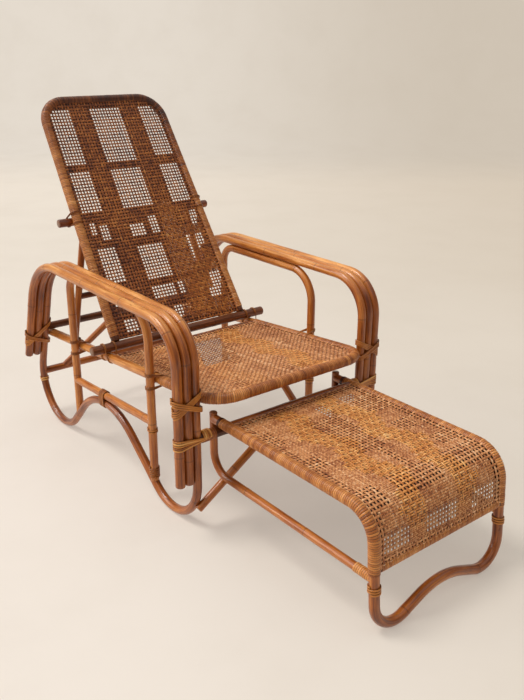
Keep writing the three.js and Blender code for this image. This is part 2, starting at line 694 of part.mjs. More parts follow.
// Round cane that saddles the crossing of two poles
// a points from the under pole to the over pole, h runs along the under pole, v along the over pole
function saddlePath({ base, a, h, v, overR, underR, overOff, underOff, turns, slack = 0 }) {
  const route = [];
  const grow = 1 / Math.cos(Math.PI / (2 * SADDLE_STEPS));
  const round = (offset, radius, flat, normal, sense, stand, standDirection) => {
    for (let i = 0; i <= SADDLE_STEPS; i++) {
      const turn = (Math.PI * i) / SADDLE_STEPS;
      route.push(
        base
          .clone()
          .addScaledVector(a, offset)
          .addScaledVector(flat, sense * radius * Math.cos(turn))
          .addScaledVector(a, normal * radius * Math.sin(turn))
          .addScaledVector(standDirection, stand),
      );
    }
  };
  for (let t = 0; t < turns; t++) {
    const over = (overR + slack + CORD_R + SEAT_GAP) * grow;
    const under = (underR + CORD_R + SEAT_GAP) * grow;
    const standOver = underR + CORD_R + SEAT_GAP + CORD_PITCH * t;
    const standUnder = overR + slack + CORD_R + SEAT_GAP + CORD_PITCH * t;
    const step = CORD_PITCH / SADDLE_ARCS;
    round(overOff, over, h, 1, 1, standOver, v);
    round(underOff, under, v, -1, 1, -standUnder - step, h);
    round(overOff, over, h, 1, -1, -standOver - 2 * step, v);
    round(underOff, under, v, -1, -1, standUnder + 3 * step, h);
  }
  return route;
}

// Least clear distance between a winding's own turns, on points along its route
function leastGap(name, route, outward, wide, thick, turnSteps) {
  const dense = [];
  for (let i = 0; i < route.length - 1; i++)
    for (let k = 0; k < GAP_SAMPLES; k++) {
      const p = route[i].clone().lerp(route[i + 1], k / GAP_SAMPLES);
      dense.push({ p, i, out: outward ? outward[i] : null });
    }
  let least = Infinity;
  dense.forEach((a, n) => {
    for (let m = n + 1; m < dense.length; m++) {
      const b = dense[m];
      if (b.i - a.i < turnSteps / 2) continue;
      const apart = b.p.clone().sub(a.p);
      const along = a.out ? Math.abs(apart.dot(a.out)) : 0;
      const beside = Math.sqrt(Math.max(0, apart.lengthSq() - along * along));
      const clear = a.out ? Math.max(along - thick, beside - wide) : apart.length() - wide;
      least = Math.min(least, clear);
    }
  });
  console.log(`${name}: least gap to itself ${least.toFixed(2)} mm`);
}

function wind(name, parts) {
  const paths = parts.map(windingPath);
  const route = paths.flatMap((p) => p.route);
  const outward = paths.flatMap((p) => p.outward);
  leastGap(name, route, outward, CANE_WIDTH, CANE_THICK, LASH_STEPS);
  add(name, strand(route, outward), CANE, CANE_ROUGHNESS);
}

function saddle(name, place) {
  const route = saddlePath(place);
  leastGap(name, route, null, 2 * CORD_R, 2 * CORD_R, SADDLE_ARCS * (SADDLE_STEPS + 1));
  add(name, pole(route, CORD_R, place.a, false, CORD_SIDES), CANE, CANE_ROUGHNESS);
}

function postLashings(k) {
  const out = ACROSS.clone().multiplyScalar(k);
  const spreadX = (ARM_OUTER_X - LOOP_X) / 2;
  const bundle = (f, z) => at(k * (LOOP_X + spreadX), f, z);
  const post = { axis: UP, u: out, v: FORWARD, half: spreadX, radius: POST_R, turns: LASH_TURNS };
  const past = SEAT_R / Math.cos(SEAT_PITCH) + POST_R * Math.tan(SEAT_PITCH) + CLEAR;
  const round = FRONT_CROSS_R + CLEAR;
  straddle(`front_lashing_upper_${side(k)}`, post, bundle(POST_F, seatZ(POST_F)), past, past);
  straddle(`front_lashing_lower_${side(k)}`, post, bundle(POST_F, FRONT_CROSS_Z), round, round);

  const [topF, topZ] = rearPost.from;
  const [lowF, lowZ] = rearPost.to;
  const postAxis = at(0, topF - lowF, topZ - lowZ).normalize();
  const lean = Math.abs(postAxis.y / postAxis.z);
  const f = rearPostF(seatZ(rearPostF(SEAT_Z)));
  const rear = { ...post, axis: postAxis, v: ACROSS.clone().cross(postAxis).normalize() };
  const high = (rearHighZ - seatZ(f) + CROSS_R) / postAxis.z + POST_R * lean + CLEAR;
  const low = SEAT_R / postAxis.z + POST_R * lean + CLEAR + CANE_WIDTH;
  straddle(`rear_lashing_${side(k)}`, rear, bundle(f, seatZ(f)), high, low);
}

// A winding that parts round a pole on its inner side, above it and below it
function straddle(name, post, base, high, low) {
  const wide = 2 * (post.half + post.radius);
  const packed = (tilt) => CANE_PITCH * Math.hypot(1, tilt / wide);
  const above = packed(high);
  const below = packed(low);
  wind(name, [
    { ...post, base, start: CANE_PITCH / 2 + LASH_TURNS * above, pitch: -above, tilt: high },
    { ...post, base, start: -CANE_PITCH / 2, pitch: -below, tilt: -low },
  ]);
}

function archLashings(k) {
  const x = k * LOOP_X;
  const out = ACROSS.clone().multiplyScalar(k);
  const forward = at(0, Math.cos(SEAT_PITCH), Math.sin(SEAT_PITCH));
  const overOff = (LOOP_X - SEAT_X) / 2;
  const crossingAt = (f) => at(k * (LOOP_X - overOff), f, seatZ(f));
  const place = {
    a: out,
    h: forward,
    v: UP,
    overR: LOOP_R,
    underR: SEAT_R,
    overOff,
    underOff: -overOff,
    turns: ARCH_SADDLE_TURNS,
  };
  saddle(`arch_lashing_rear_${side(k)}`, { ...place, base: crossingAt(ARCH_REAR_F) });
  saddle(`arch_lashing_front_${side(k)}`, { ...place, base: crossingAt(ARCH_FRONT_F) });

  const runnerZ = crossingRunner(ARCH_FRONT_F);
  const runnerSlope = (runnerZ - crossingRunner(ARCH_FRONT_F - LOOP_R)) / LOOP_R;
  const fall = Math.atan(-runnerSlope);
  const half = (Math.PI / 2 - fall) / 2;
  const axis = at(0, -Math.sin(half), Math.cos(half));
  const v = at(0, Math.cos(half), Math.sin(half));
  wind(`runner_lashing_${side(k)}`, [
    {
      base: at(x, ARCH_FRONT_F, runnerZ),
      axis,
      u: v,
      v: ACROSS,
      half: 0,
      spread: Math.tan(half),
      radius: LOOP_R / Math.cos(half) + LASH_EASE,
      turns: LONG_LASH_TURNS,
      pitch: CANE_PITCH,
      start: 2 * LOOP_R,
    },
  ]);

  const railAxis = at(0, 1, lowRailSlope).normalize();
  const railUp = at(0, -lowRailSlope, 1).normalize();
  const stack = (LOW_RAIL_R + LOOP_R + LASH_EASE) / 2;
  wind(`hump_lashing_${side(k)}`, [
    {
      base: at(x, humpTouchF, lowRailZ(humpTouchF)).addScaledVector(railUp, -stack),
      axis: railAxis,
      u: railUp,
      v: ACROSS,
      half: stack,
      radius: Math.max(LOOP_R, LOW_RAIL_R) + LASH_EASE + SEAT_GAP,
      turns: LONG_LASH_TURNS,
      pitch: CANE_PITCH,
      start: -2 * CANE_PITCH,
    },
  ]);

  const ring = { u: out, v: FORWARD, half: 0, turns: LASH_TURNS, pitch: CANE_PITCH };
  const under = lowRailZ(ARCH_FRONT_F) - LOW_RAIL_R - CLEAR - LASH_TURNS * CANE_PITCH;
  wind(`side_rail_lashing_${side(k)}`, [
    { ...ring, base: at(x, ARCH_FRONT_F, under), axis: UP, radius: LOOP_R, start: 0 },
  ]);
  const ringTopZ = REAR_LOW_Z - CROSS_R - CLEAR;
  const [low, high] = [ringTopZ - LASH_TURNS * CANE_PITCH, ringTopZ].map((z) => at(x, rearPostF(z), z));
  const lowAxis = high.sub(low).normalize();
  wind(`rear_cross_lashing_${side(k)}`, [
    {
      ...ring,
      base: low,
      axis: lowAxis,
      v: ACROSS.clone().cross(lowAxis),
      radius: LOOP_R + RUNNING_GAP,
      start: 0,
    },
  ]);
}

function backLashings(k) {
  const overOff = (HINGE_R + SEAT_R + SEAT_GAP) / 2;
  const forward = at(0, Math.cos(SEAT_PITCH), Math.sin(SEAT_PITCH));
  const hinge = at(k * SEAT_X, HINGE_F, hingeZ).addScaledVector(SEAT_UP, -overOff);
  const across = ACROSS.clone().multiplyScalar(k);
  saddle(`hinge_lashing_${side(k)}`, {
    base: hinge,
    a: SEAT_UP,
    h: forward,
    v: across,
    overR: HINGE_R,
    underR: SEAT_R,
    overOff,
    underOff: -overOff,
    turns: 1,
    slack: RUNNING_GAP,
  });

  const hoop = onBack(k * midLashX, MID_L, midOffset / 2);
  saddle(`back_lashing_${side(k)}`, {
    base: hoop,
    a: BACK_OUT,
    h: ACROSS,
    v: BACK_UP,
    overR: HOOP_R,
    underR: MID_R,
    overOff: -midOffset / 2,
    underOff: midOffset / 2,
    turns: 1,
    slack: LASH_EASE,
  });
}

function footrestLashings(k) {
  const z = REST_LOW_Z - REST_LOW_R - CLEAR - LASH_TURNS * CANE_PITCH;
  const legAxis = at(0, -Math.sin(REST_RAKE), Math.cos(REST_RAKE));
  wind(`footrest_lashing_${side(k)}`, [
    {
      base: at(k * REST_X, restLegF(z), z),
      axis: legAxis,
      u: ACROSS.clone().multiplyScalar(k),
      v: ACROSS.clone().cross(legAxis),
      half: 0,
      radius: REST_R,
      turns: LASH_TURNS,
      pitch: CANE_PITCH,
      start: 0,
    },
  ]);
}

for (const k of [-1, 1]) sideFrame(k);
seat();
crossbars();
back();
prop();
footrest();
for (const k of [-1, 1]) {
  postLashings(k);
  archLashings(k);
  backLashings(k);
  footrestLashings(k);
}

// The chair stands with its floor print centred on the origin
const box = new THREE.Box3().setFromObject(chair);
chair.position.y = -(box.min.y + box.max.y) / 2;
const size = box.getSize(new THREE.Vector3()).toArray();
console.log(`forward shift ${chair.position.y.toFixed(3)} mm, size ${size.map((s) => s.toFixed(1))} mm`);

export default chair;
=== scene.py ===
"""Looks of a bent rattan lounge chair: poles, bound cane, woven panels and lashings.

Lengths are metres. X runs across, F is measured forward from the rear of the seat, Z is up.
"""

from math import atan2, ceil, copysign, cos, hypot, pi, radians, sin, sqrt, tan

import bpy
import numpy as np
from mathutils import Matrix, Vector


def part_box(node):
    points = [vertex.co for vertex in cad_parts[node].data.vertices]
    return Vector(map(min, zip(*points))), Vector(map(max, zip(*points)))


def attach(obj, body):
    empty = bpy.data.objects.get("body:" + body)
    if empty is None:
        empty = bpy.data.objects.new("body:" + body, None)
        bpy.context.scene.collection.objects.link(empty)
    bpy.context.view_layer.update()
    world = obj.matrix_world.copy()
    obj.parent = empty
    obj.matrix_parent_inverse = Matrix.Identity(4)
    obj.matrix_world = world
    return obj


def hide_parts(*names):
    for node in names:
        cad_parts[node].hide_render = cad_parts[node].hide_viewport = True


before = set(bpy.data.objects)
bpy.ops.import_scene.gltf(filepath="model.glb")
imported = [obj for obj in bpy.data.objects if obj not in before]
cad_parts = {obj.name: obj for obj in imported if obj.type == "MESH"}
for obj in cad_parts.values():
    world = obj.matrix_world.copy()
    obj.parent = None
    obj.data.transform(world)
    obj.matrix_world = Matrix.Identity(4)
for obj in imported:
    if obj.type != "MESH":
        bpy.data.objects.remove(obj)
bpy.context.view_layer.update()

# Camera
CAMERA_PLACE = Vector((-1.2666, -1.6734, 1.1981))
CAMERA_YAW = radians(38.703)
CAMERA_PITCH = radians(-21.258)
CAMERA_ROLL = radians(0.305)
SENSOR = 36
FOCAL_SHARE = 790.8 / 700

# Pole radii
LOOP_R = 0.012
ARM_R = 0.013
ARCH_R = 0.012
LOW_RAIL_R = 0.0115
SEAT_R = 0.013
SEAT_BAR_R = 0.011
CROSS_R = 0.012
BRACE_R = 0.011
FRONT_CROSS_R = 0.014
HOOP_R = 0.0125
HINGE_R = 0.014
MID_R = 0.0125
PROP_R = 0.0105
PROP_BAR_R = 0.0095
REST_R = 0.0125
REST_LOW_R = 0.0105
REST_BAR_R = 0.011
GAP = 0.0003

# Side frame
LOOP_X = 0.287
ARM_Z = 0.575
REAR_FOOT_F = 0.105
REAR_FOOT_BEND = 0.135
HUMP_F = 0.431
HUMP_BEND = 0.225
FRONT_FOOT_F = 0.780
FRONT_FOOT_BEND = 0.125
ARM_FRONT_BEND = 0.110
ARM_REAR_F = 0.256
ARM_REAR_BEND = 0.200
ARM_END_FRONT_Z = 0.148
ARM_END_REAR_Z = 0.223
FLOOR_WEAR = 0.0009
LASH_EASE = 0.001

# Arch and low rail
ARCH_REAR_F = 0.239
ARCH_FRONT_F = 0.690
ARCH_REAR_BEND = 0.055
ARCH_FRONT_BEND = 0.090
LOW_RAIL_REAR_Z = 0.203
LOW_RAIL_FRONT_Z = 0.232

# Seat
SEAT_Z = 0.293
SEAT_PITCH = radians(5)
SEAT_OVERHANG = 0.045
SEAT_CORNER_BEND = 0.075
SEAT_BAR_SETBACK = 0.035

# Crossbars and braces
REAR_LOW_Z = 0.145
BRACE_REAR_FOOT_X = 0.212
BRACE_FRONT_FOOT_Z = 0.062
BRACE_FRONT_DROP = 0.022
BRACE_APEX_SPREAD = 0.010
CROSS_BINDING = 0.042

# Back
HINGE_F = 0.410
HINGE_BAR_X = 0.315
BACK_ANGLE = radians(56)
BACK_LENGTH = 0.803
HOOP_BOTTOM_X = 0.231
HOOP_TOP_X = 0.210
HOOP_CORNER_BEND = 0.078
MID_L = 0.412
MID_X = 0.270

# Prop
PROP_TOP_X = 0.185
PROP_FOOT_F = 0.195
PROP_BAR_DROP = 0.231
PAD_HEIGHT = 0.005
EYE_R = 0.017
EYE_WIDTH = 0.020

# Footrest
REST_X = 0.216
REST_Z = 0.295
REST_LOW_Z = 0.143
REST_STUB = 0.006
REST_BAR_LEAD = 0.040
REST_REACH = 0.567
REST_BEND = 0.075
REST_LOW_BEND = 0.058
REST_RAKE = radians(4.5)
REST_FOOT_BEND = 0.066
REST_HUMP_Z = 0.050
REST_HUMP_BEND = 0.200
REST_FRONT_BAR_Z = 0.166
REST_LOW_BINDING = 0.055

# Derived places
POST_F = FRONT_FOOT_F + FRONT_FOOT_BEND
ARM_MIDDLE_X = LOOP_X + LOOP_R + ARM_R + GAP
ARM_OUTER_X = ARM_MIDDLE_X + 2 * ARM_R + GAP
SEAT_X = LOOP_X - LOOP_R - SEAT_R - GAP
SEAT_FRONT_F = POST_F + SEAT_OVERHANG
LOOP_FOOT_Z = LOOP_R - FLOOR_WEAR
REST_FOOT_Z = REST_R - FLOOR_WEAR
FRONT_CROSS_Z = REST_Z - REST_R - FRONT_CROSS_R - GAP
REST_BACK_F = POST_F - FRONT_CROSS_R - REST_LOW_R - GAP
REST_FOOT_F = POST_F + REST_REACH
REST_FOOT_X = REST_X - REST_FOOT_BEND
SHIFT = sum(c[1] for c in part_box("back_hinge_bar")) / 2 + HINGE_F

# Meshes of poles, cane and bindings
BEND_STEP = radians(4)
POLE_SIDES = 18
POLE_TURN = np.linspace(0, 2 * pi, POLE_SIDES, endpoint=False)
POLE_STEP = 0.012
EYE_SIDES = 28
FIRST_NODE = (0.05, 0.2)
NODES_APART = (0.19, 0.33)
NODE_STOPS = (0, 0.0014, 0.0028, 0.005, 0.009)
NODE_SWELL = 0.0005
END_STOPS = (0.0008, 0.0022)
END_EASE = 0.0016
WRAP_PITCH = 0.0052
WRAP_HEIGHT = 0.0013
WRAP_STEPS = np.array([0.0, 0.16, 0.42, 0.66, 0.88])
WRAP_SHAPE = np.array([0.0, 0.82, 1.0, 0.97, 0.74])
CANE_WIDTH = 0.0052
CANE_THICK = 0.0024
CANE_PITCH = 0.0062
CORD_R = 0.0014
CORD_STEP = 0.003
WIND_STEPS = 30
CANE_LIFT = CANE_THICK / 2 + GAP
LASH_TONES = (0.62, 0.12)
CORD_TONES = (0.5, 0.1)

# Light
WORLD_LIGHT = 0.25
# How much the floor glows: painted light that lifts its shadows.
FLOOR_GLOW = 0.45

ACROSS = np.array([1.0, 0.0, 0.0])
UP = np.array([0.0, 0.0, 1.0])
FORWARD = np.array([0.0, -1.0, 0.0])
SIDES = {"right": -1, "left": 1}

dice = np.random.default_rng(7)


def at(x, f, z):
    return np.stack(np.broadcast_arrays(x, SHIFT - f, z), axis=-1)


def bar_ends(half, place, *rest):
    """The ends of a bar, as far either way across."""
    return [place(x, *rest) for x in (-half, half)]


def unit(v):
    return v / np.maximum(np.linalg.norm(v, axis=-1, keepdims=True), 1e-12)


def lengths(points):
    """The length run at each point of a line."""
    return np.concatenate([[0], np.cumsum(np.linalg.norm(np.diff(points, axis=0), axis=1))])


def seat_z(f):
    return SEAT_Z + f * tan(SEAT_PITCH)


# Bent lines: the same formers as the frame, in a flat plane, left turns positive


def tangent_between(a, b):
    (au, av, ar), (bu, bv, br) = a, b
    du, dv = bu - au, bv - av
    length = hypot(du, dv)
    du, dv = du / length, dv / length
    lean = (br - ar) / length
    rest = sqrt(1 - lean * lean)
    nu, nv = lean * du - rest * dv, lean * dv + rest * du
    return (au - nu * ar, av - nv * ar), (bu - nu * br, bv - nv * br)


def bent(formers, closed=False):
    count = len(formers)
    last = count if closed else count - 1
    lines = [tangent_between(formers[i], formers[(i + 1) % count]) for i in range(last)]
    route = []
    for i, (u, v, r) in enumerate(formers):
        if r == 0:
            route.append((u, v))
            continue
        if not closed and i in (0, count - 1):
            route.append(lines[0][0] if i == 0 else lines[-1][1])
            continue
        into, out = lines[i - 1][1], lines[i][0]
        sense = copysign(1, r)
        start = atan2(into[1] - v, into[0] - u)
        finish = atan2(out[1] - v, out[0] - u)
        sweep = ((finish - start) * sense) % (2 * pi)
        steps = max(2, ceil(sweep / BEND_STEP))
        for k in range(steps + 1):
            turn = start + sense * sweep * k / steps
            route.append((u + abs(r) * cos(turn), v + abs(r) * sin(turn)))
    return route


class Route:
    """A line through points, and its place, way, normal and side at any length along it."""

    def __init__(self, points, up, closed=False):
        points = [np.asarray(p, float) for p in points]
        if closed:
            points.append(points[0])
        dense = [points[0]]
        for a, b in zip(points, points[1:]):
            span = np.linalg.norm(b - a)
            if span < 1e-6:
                continue
            if span > 0.02:
                dense += [a + (b - a) * 0.001 / span, b - (b - a) * 0.001 / span]
            dense.append(b)
        self.points = np.array(dense)
        self.marks = lengths(self.points)
        self.length = self.marks[-1]
        ways = unit(np.diff(self.points, axis=0))
        joined = np.vstack([ways[:1], ways[:-1] + ways[1:], ways[-1:]])
        if closed:
            joined[0] = joined[-1] = ways[0] + ways[-1]
        self.ways = unit(joined)
        normal = np.asarray(up, float)
        normals = []
        for way in self.ways:
            normal = unit(normal - way * np.dot(normal, way))
            normals.append(normal)
        self.normals = np.array(normals)
        self.closed = closed

    def sample(self, s):
        def between(values):
            return np.stack([np.interp(s, self.marks, values[:, k]) for k in range(3)], axis=-1)

        place = between(self.points)
        way = unit(between(self.ways))
        normal = between(self.normals)
        normal = unit(normal - way * np.sum(normal * way, axis=-1, keepdims=True))
        return place, way, normal, np.cross(way, normal)

# Meshes


def link(name, data):
    made = bpy.data.objects.new(name, data)
    bpy.context.scene.collection.objects.link(made)
    return made


def build(name, vertices, faces, attributes):
    mesh = bpy.data.meshes.new(name)
    mesh.from_pydata(np.asarray(vertices).tolist(), [], faces)
    mesh.polygons.foreach_set("use_smooth", [True] * len(mesh.polygons))
    for key, values in attributes.items():
        values = np.asarray(values, np.float32)
        vector = values.ndim == 2
        layer = mesh.attributes.new(key, "FLOAT_VECTOR" if vector else "FLOAT", "POINT")
        layer.data.foreach_set("vector" if vector else "value", values.ravel())
    mesh.update()
    return link(name, mesh)


def grid_faces(rings, sides, closed, start=0):
    """Quads between rings of points."""
    faces = []
    for i in range(rings if closed else rings - 1):
        a, b = start + i * sides, start + ((i + 1) % rings) * sides
        for k in range(sides):
            j = (k + 1) % sides
            faces.append((a + k, a + j, b + j, b + k))
    return faces


def tube(name, route, radius, seed, tone, shade=None):
    """A bare rattan pole with growth rings, slight swellings and eased ends."""
    rng = np.random.default_rng(seed)
    length = route.length
    nodes, node = [], rng.uniform(*FIRST_NODE)
    while node < length - 0.02:
        nodes.append(node)
        node += rng.uniform(*NODES_APART)
    stops = [node + way * d for node in nodes for d in NODE_STOPS for way in (-1, 1)]
    if not route.closed:
        stops += [*END_STOPS, *(length - d for d in END_STOPS)]
    even = np.linspace(0, length, max(3, ceil(length / POLE_STEP)) + 1)
    stops = np.unique(np.clip(np.round(np.append(even, stops), 5), 0, length))
    if route.closed:
        stops = stops[:-1]
    ring, swell = np.zeros((2, len(stops)))
    for node in nodes:
        away = stops - node
        ring = np.maximum(ring, np.exp(-((away / 0.0016) ** 2)))
        swell += NODE_SWELL * (np.exp(-((away / 0.006) ** 2)) - np.exp(-((away / 0.0013) ** 2)))
    phase = rng.uniform(0, 2 * pi, 3)
    swell += radius * 0.014 * np.sin(stops * 31 + phase[0]) * np.sin(stops * 11 + phase[1])
    if not route.closed:
        edge = np.minimum(stops, length - stops)
        swell -= END_EASE * np.clip(1 - edge / END_STOPS[1], 0, 1) ** 2
    place, _, normal, side = route.sample(stops)
    c, s = np.cos(POLE_TURN), np.sin(POLE_TURN)
    out = c[:, None] * normal[:, None] + s[:, None] * side[:, None]
    vertices = (place[:, None] + (radius + swell)[:, None, None] * out).reshape(-1, 3)
    vertices[:, 2] = np.maximum(vertices[:, 2], 0)
    along = (stops + rng.uniform(0, 9))[:, None]
    grain = np.broadcast_arrays(c * radius, s * radius, along)
    grain = np.stack(grain, axis=-1).reshape(-1, 3)
    faces = grid_faces(len(stops), POLE_SIDES, route.closed)
    ring = np.repeat(ring, POLE_SIDES)
    cut = np.zeros(len(vertices))
    if not route.closed:
        count = len(vertices)
        last = count - POLE_SIDES
        for k in range(POLE_SIDES):
            j = (k + 1) % POLE_SIDES
            faces += [(count, j, k), (last + j, count + 1, last + k)]
        vertices = np.vstack([vertices, place[[0, -1]]])
        grain = np.vstack([grain, np.zeros((2, 3))])
        ring, cut = np.append(ring, [0, 0]), np.append(cut, [1, 1])
        cut[:POLE_SIDES] = cut[last:count] = 0.5
    tones = np.full(len(vertices), tone)
    # Painted light and shade along the pole, where a shade function is given.
    if shade:
        tones += shade(vertices)
    return build(name, vertices, faces, {"grain": grain, "ring": ring, "cut": cut, "tone": tones})


def sleeve(name, route, radius, body, seed, start, end, tone, tones=None, wear=None):
    """Split cane bound closely round a pole, one turn beside the next."""
    rng = np.random.default_rng(seed)
    turns = max(2, int((end - start) / WRAP_PITCH))

    def each(values, last):
        """A value of each turn, for all of its rings, and the last ring's."""
        return np.append(np.repeat(values, len(WRAP_STEPS)), last)

    steps = np.arange(turns)[:, None] + WRAP_STEPS
    stops = np.append((start + steps * (end - start) / turns).ravel(), end)
    heights = np.append(np.tile(WRAP_SHAPE, turns), 0) * each(rng.uniform(0.75, 1.1, turns), 1)
    uneven = rng.normal(0, 0.065, turns) + 0.03 * np.sin(np.arange(turns) * 0.21 + seed)
    tone_at = each(tone + uneven, tone)
    if tones:
        tone_at = tone_at + tones((stops - start) / (end - start))
    tilt = 0.0011 * np.sin(POLE_TURN + stops[:, None] * 9)
    tilt += 0.0003 * np.sin(3 * POLE_TURN + each(rng.uniform(0, 6, turns), 0)[:, None])
    marks = np.clip(stops[:, None] + tilt, start, end).ravel()
    place, _, normal, side = route.sample(marks)
    turn = np.tile(POLE_TURN, len(stops))[:, None]
    reach = (radius + GAP + np.repeat(heights, POLE_SIDES) * WRAP_HEIGHT)[:, None]
    vertices = place + reach * (np.cos(turn) * normal + np.sin(turn) * side)
    if wear:
        wear(vertices)
    attributes = {
        "grain": np.stack([marks, turn[:, 0] * radius, marks * 0], axis=-1),
        # Painted shade in the grooves between turns.
        "gap_shade": np.clip(1 - np.repeat(heights, POLE_SIDES) * 1.4, 0, 1),
        "tone": np.repeat(tone_at, POLE_SIDES),
    }
    piece = build(name, vertices, grid_faces(len(stops), POLE_SIDES, False), attributes)
    place_piece(piece, CANE_WRAP, body)


class Strands:
    """Flat cane strands gathered in one mesh."""

    SECTION = ((0.5, -0.15), (0.38, 0.5), (-0.38, 0.5), (-0.5, -0.15), (-0.3, -0.5), (0.3, -0.5))
    # Painted shade at each point of the section: deep at the side edges, some underneath, none on
    # top.
    EDGE_SHADE = (0.9, 0.0, 0.0, 0.9, 0.4, 0.4)

    def __init__(self, width, thick, section=SECTION, edge=EDGE_SHADE):
        self.section = np.array(section) * (width, thick)
        self.edge = np.array(edge)
        self.vertices, self.faces, self.count = [], [], 0
        self.attributes = {"grain": [], "tone": [], "gap_shade": [], "gold": []}

    def add(self, points, out, tone, gold=0.0, wide=1.0, deep=1.0, dark=0.0):
        n, sides = len(points), len(self.section)
        wide, deep, dark = (np.broadcast_to(value, n)[:, None] for value in (wide, deep, dark))
        way = unit(np.gradient(points, axis=0))
        out = unit(out - way * np.sum(out * way, axis=-1, keepdims=True))
        w, t = self.section.T
        rings = points[:, None] + (w * wide)[..., None] * np.cross(out, way)[:, None]
        rings = rings + (t * deep)[..., None] * out[:, None]
        self.vertices.append(rings.reshape(-1, 3))
        seed = self.count * 0.013 % 7
        grain = np.broadcast_arrays(w + seed, t, lengths(points)[:, None] + seed)
        # Dark marks add painted shade, less of it on the underside.
        under = np.where(t < -0.4 * np.ptp(t), 0.3, 1.0)
        for key, values in (
            ("grain", np.stack(grain, axis=-1).reshape(-1, 3)),
            ("tone", np.repeat(np.broadcast_to(tone, n), sides)),
            ("gap_shade", np.minimum(self.edge + under * dark, 1).ravel()),
            ("gold", np.repeat(np.broadcast_to(gold, n), sides)),
        ):
            self.attributes[key].append(values)
        self.faces += grid_faces(n, sides, False, self.count)
        last = self.count + (n - 1) * sides
        self.faces.append(tuple(self.count + k for k in reversed(range(sides))))
        self.faces.append(tuple(last + k for k in range(sides)))
        self.count += n * sides

    def mesh(self, name):
        attributes = {key: np.concatenate(values) for key, values in self.attributes.items()}
        return build(name, np.vstack(self.vertices), self.faces, attributes)


# Materials


def srgb(code):
    parts = [int(code[i : i + 2], 16) / 255 for i in (0, 2, 4)]
    parts = [p / 12.92 if p <= 0.04045 else ((p + 0.055) / 1.055) ** 2.4 for p in parts]
    return (*parts, 1.0)


class Shader:
    """The nodes of a material or a world, built up by short calls."""

    def __init__(self, data, surface="Principled BSDF"):
        data.use_nodes = True
        self.data, self.tree = data, data.node_tree
        self.surface = self.tree.nodes[surface]

    def node(self, kind, inputs=None, **settings):
        made = self.tree.nodes.new("ShaderNode" + kind)
        for key, value in settings.items():
            setattr(made, key, value)
        return self.fill(made, inputs or {})

    def fill(self, made, inputs):
        """Each input gets its value, or a link to the socket that the value is."""
        for key, value in inputs.items():
            if isinstance(value, bpy.types.NodeSocket):
                self.tree.links.new(value, made.inputs[key])
            else:
                made.inputs[key].default_value = value
        return made

    def attribute(self, name, output="Fac"):
        return self.node("Attribute", attribute_name=name).outputs[output]

    def noise(self, vector, scale, stretch=(1, 1, 1), detail=3.0, roughness=0.55):
        mapped = self.node("Mapping", {"Vector": vector, "Scale": stretch}).outputs[0]
        inputs = {"Vector": mapped, "Scale": scale, "Detail": detail, "Roughness": roughness}
        return self.node("TexNoise", inputs).outputs["Fac"]

    def math(self, operation, a, b, clamp=False):
        return self.node("Math", {0: a, 1: b}, operation=operation, use_clamp=clamp).outputs[0]

    def times(self, a, b):
        return self.math("MULTIPLY", a, b)

    def shifted(self, value, *shifts):
        """A value moved either way by noises, by an amount each, and kept in 0 to 1."""
        for n, (noise, amount) in enumerate(shifts, 1):
            shift = self.times(self.math("SUBTRACT", noise, 0.5), amount)
            value = self.math("ADD", value, shift, clamp=n == len(shifts))
        return value

    def ramp(self, value, stops):
        """Colours along a value: places in hundredths, each with its colour."""
        made = self.node("ValToRGB", {"Fac": value})
        words = stops.split()
        elements = made.color_ramp.elements
        while len(elements) < len(words) // 2:
            elements.new(0.5)
        for element, place, code in zip(elements, words[::2], words[1::2]):
            element.position = int(place) / 100
            element.color = srgb(code)
        return made.outputs["Color"]

    def mix(self, share, a, b):
        return self.node("Mix", {"Factor": share, 6: a, 7: b}, data_type="RGBA").outputs[2]

    def smooth(self, value, low, high):
        inputs = {"Value": value, "From Min": low, "From Max": high}
        return self.node("MapRange", inputs, interpolation_type="SMOOTHSTEP").outputs["Result"]

    def finish(self, colour, roughness, height, strength, distance, coat):
        bump = self.node("Bump", {"Height": height, "Strength": strength, "Distance": distance})
        self.fill(self.surface, {
            "Base Color": colour, "Roughness": roughness, "Normal": bump.outputs[0],
            "Specular IOR Level": 0.35, "Coat Weight": coat, "Coat Roughness": 0.22,
        })
        return self.data


def pole_material(name, stops, ring_colour, stain, coat, rough):
    """Varnished rattan: long fibres, blotches, dark growth rings and worn stains."""
    s = Shader(bpy.data.materials.new(name))
    grain = s.attribute("grain", "Vector")
    fibre = s.noise(grain, 620, (1, 1, 0.03), 4)
    streak = s.noise(grain, 190, (1, 1, 0.035))
    blotch = s.noise(grain, 26, (1, 1, 0.3), 4)
    worn = s.smooth(s.noise(grain, 11, (1, 1, 0.5), 5, 0.65), 0.56, 0.72)
    speck = s.smooth(s.noise(grain, 300, (1, 1, 0.25), 2), 0.64, 0.76)
    tone = s.shifted(s.attribute("tone"), (streak, 0.7), (blotch, 0.75), (fibre, 0.5))
    colour = s.ramp(tone, stops)
    darkest = stops.split()[1]
    for share, amount, code in (
        (worn, stain, darkest),
        (speck, 0.55, darkest),
        (s.attribute("ring"), 0.5, ring_colour),
        (s.attribute("cut"), 0.75, "8A6A50"),
    ):
        colour = s.mix(s.times(share, amount), colour, srgb(code))
    height = s.math("ADD", s.times(streak, 0.6), s.times(fibre, 0.4))
    return s.finish(colour, s.shifted(rough, (blotch, 0.3)), height, 0.35, 0.0008, coat)


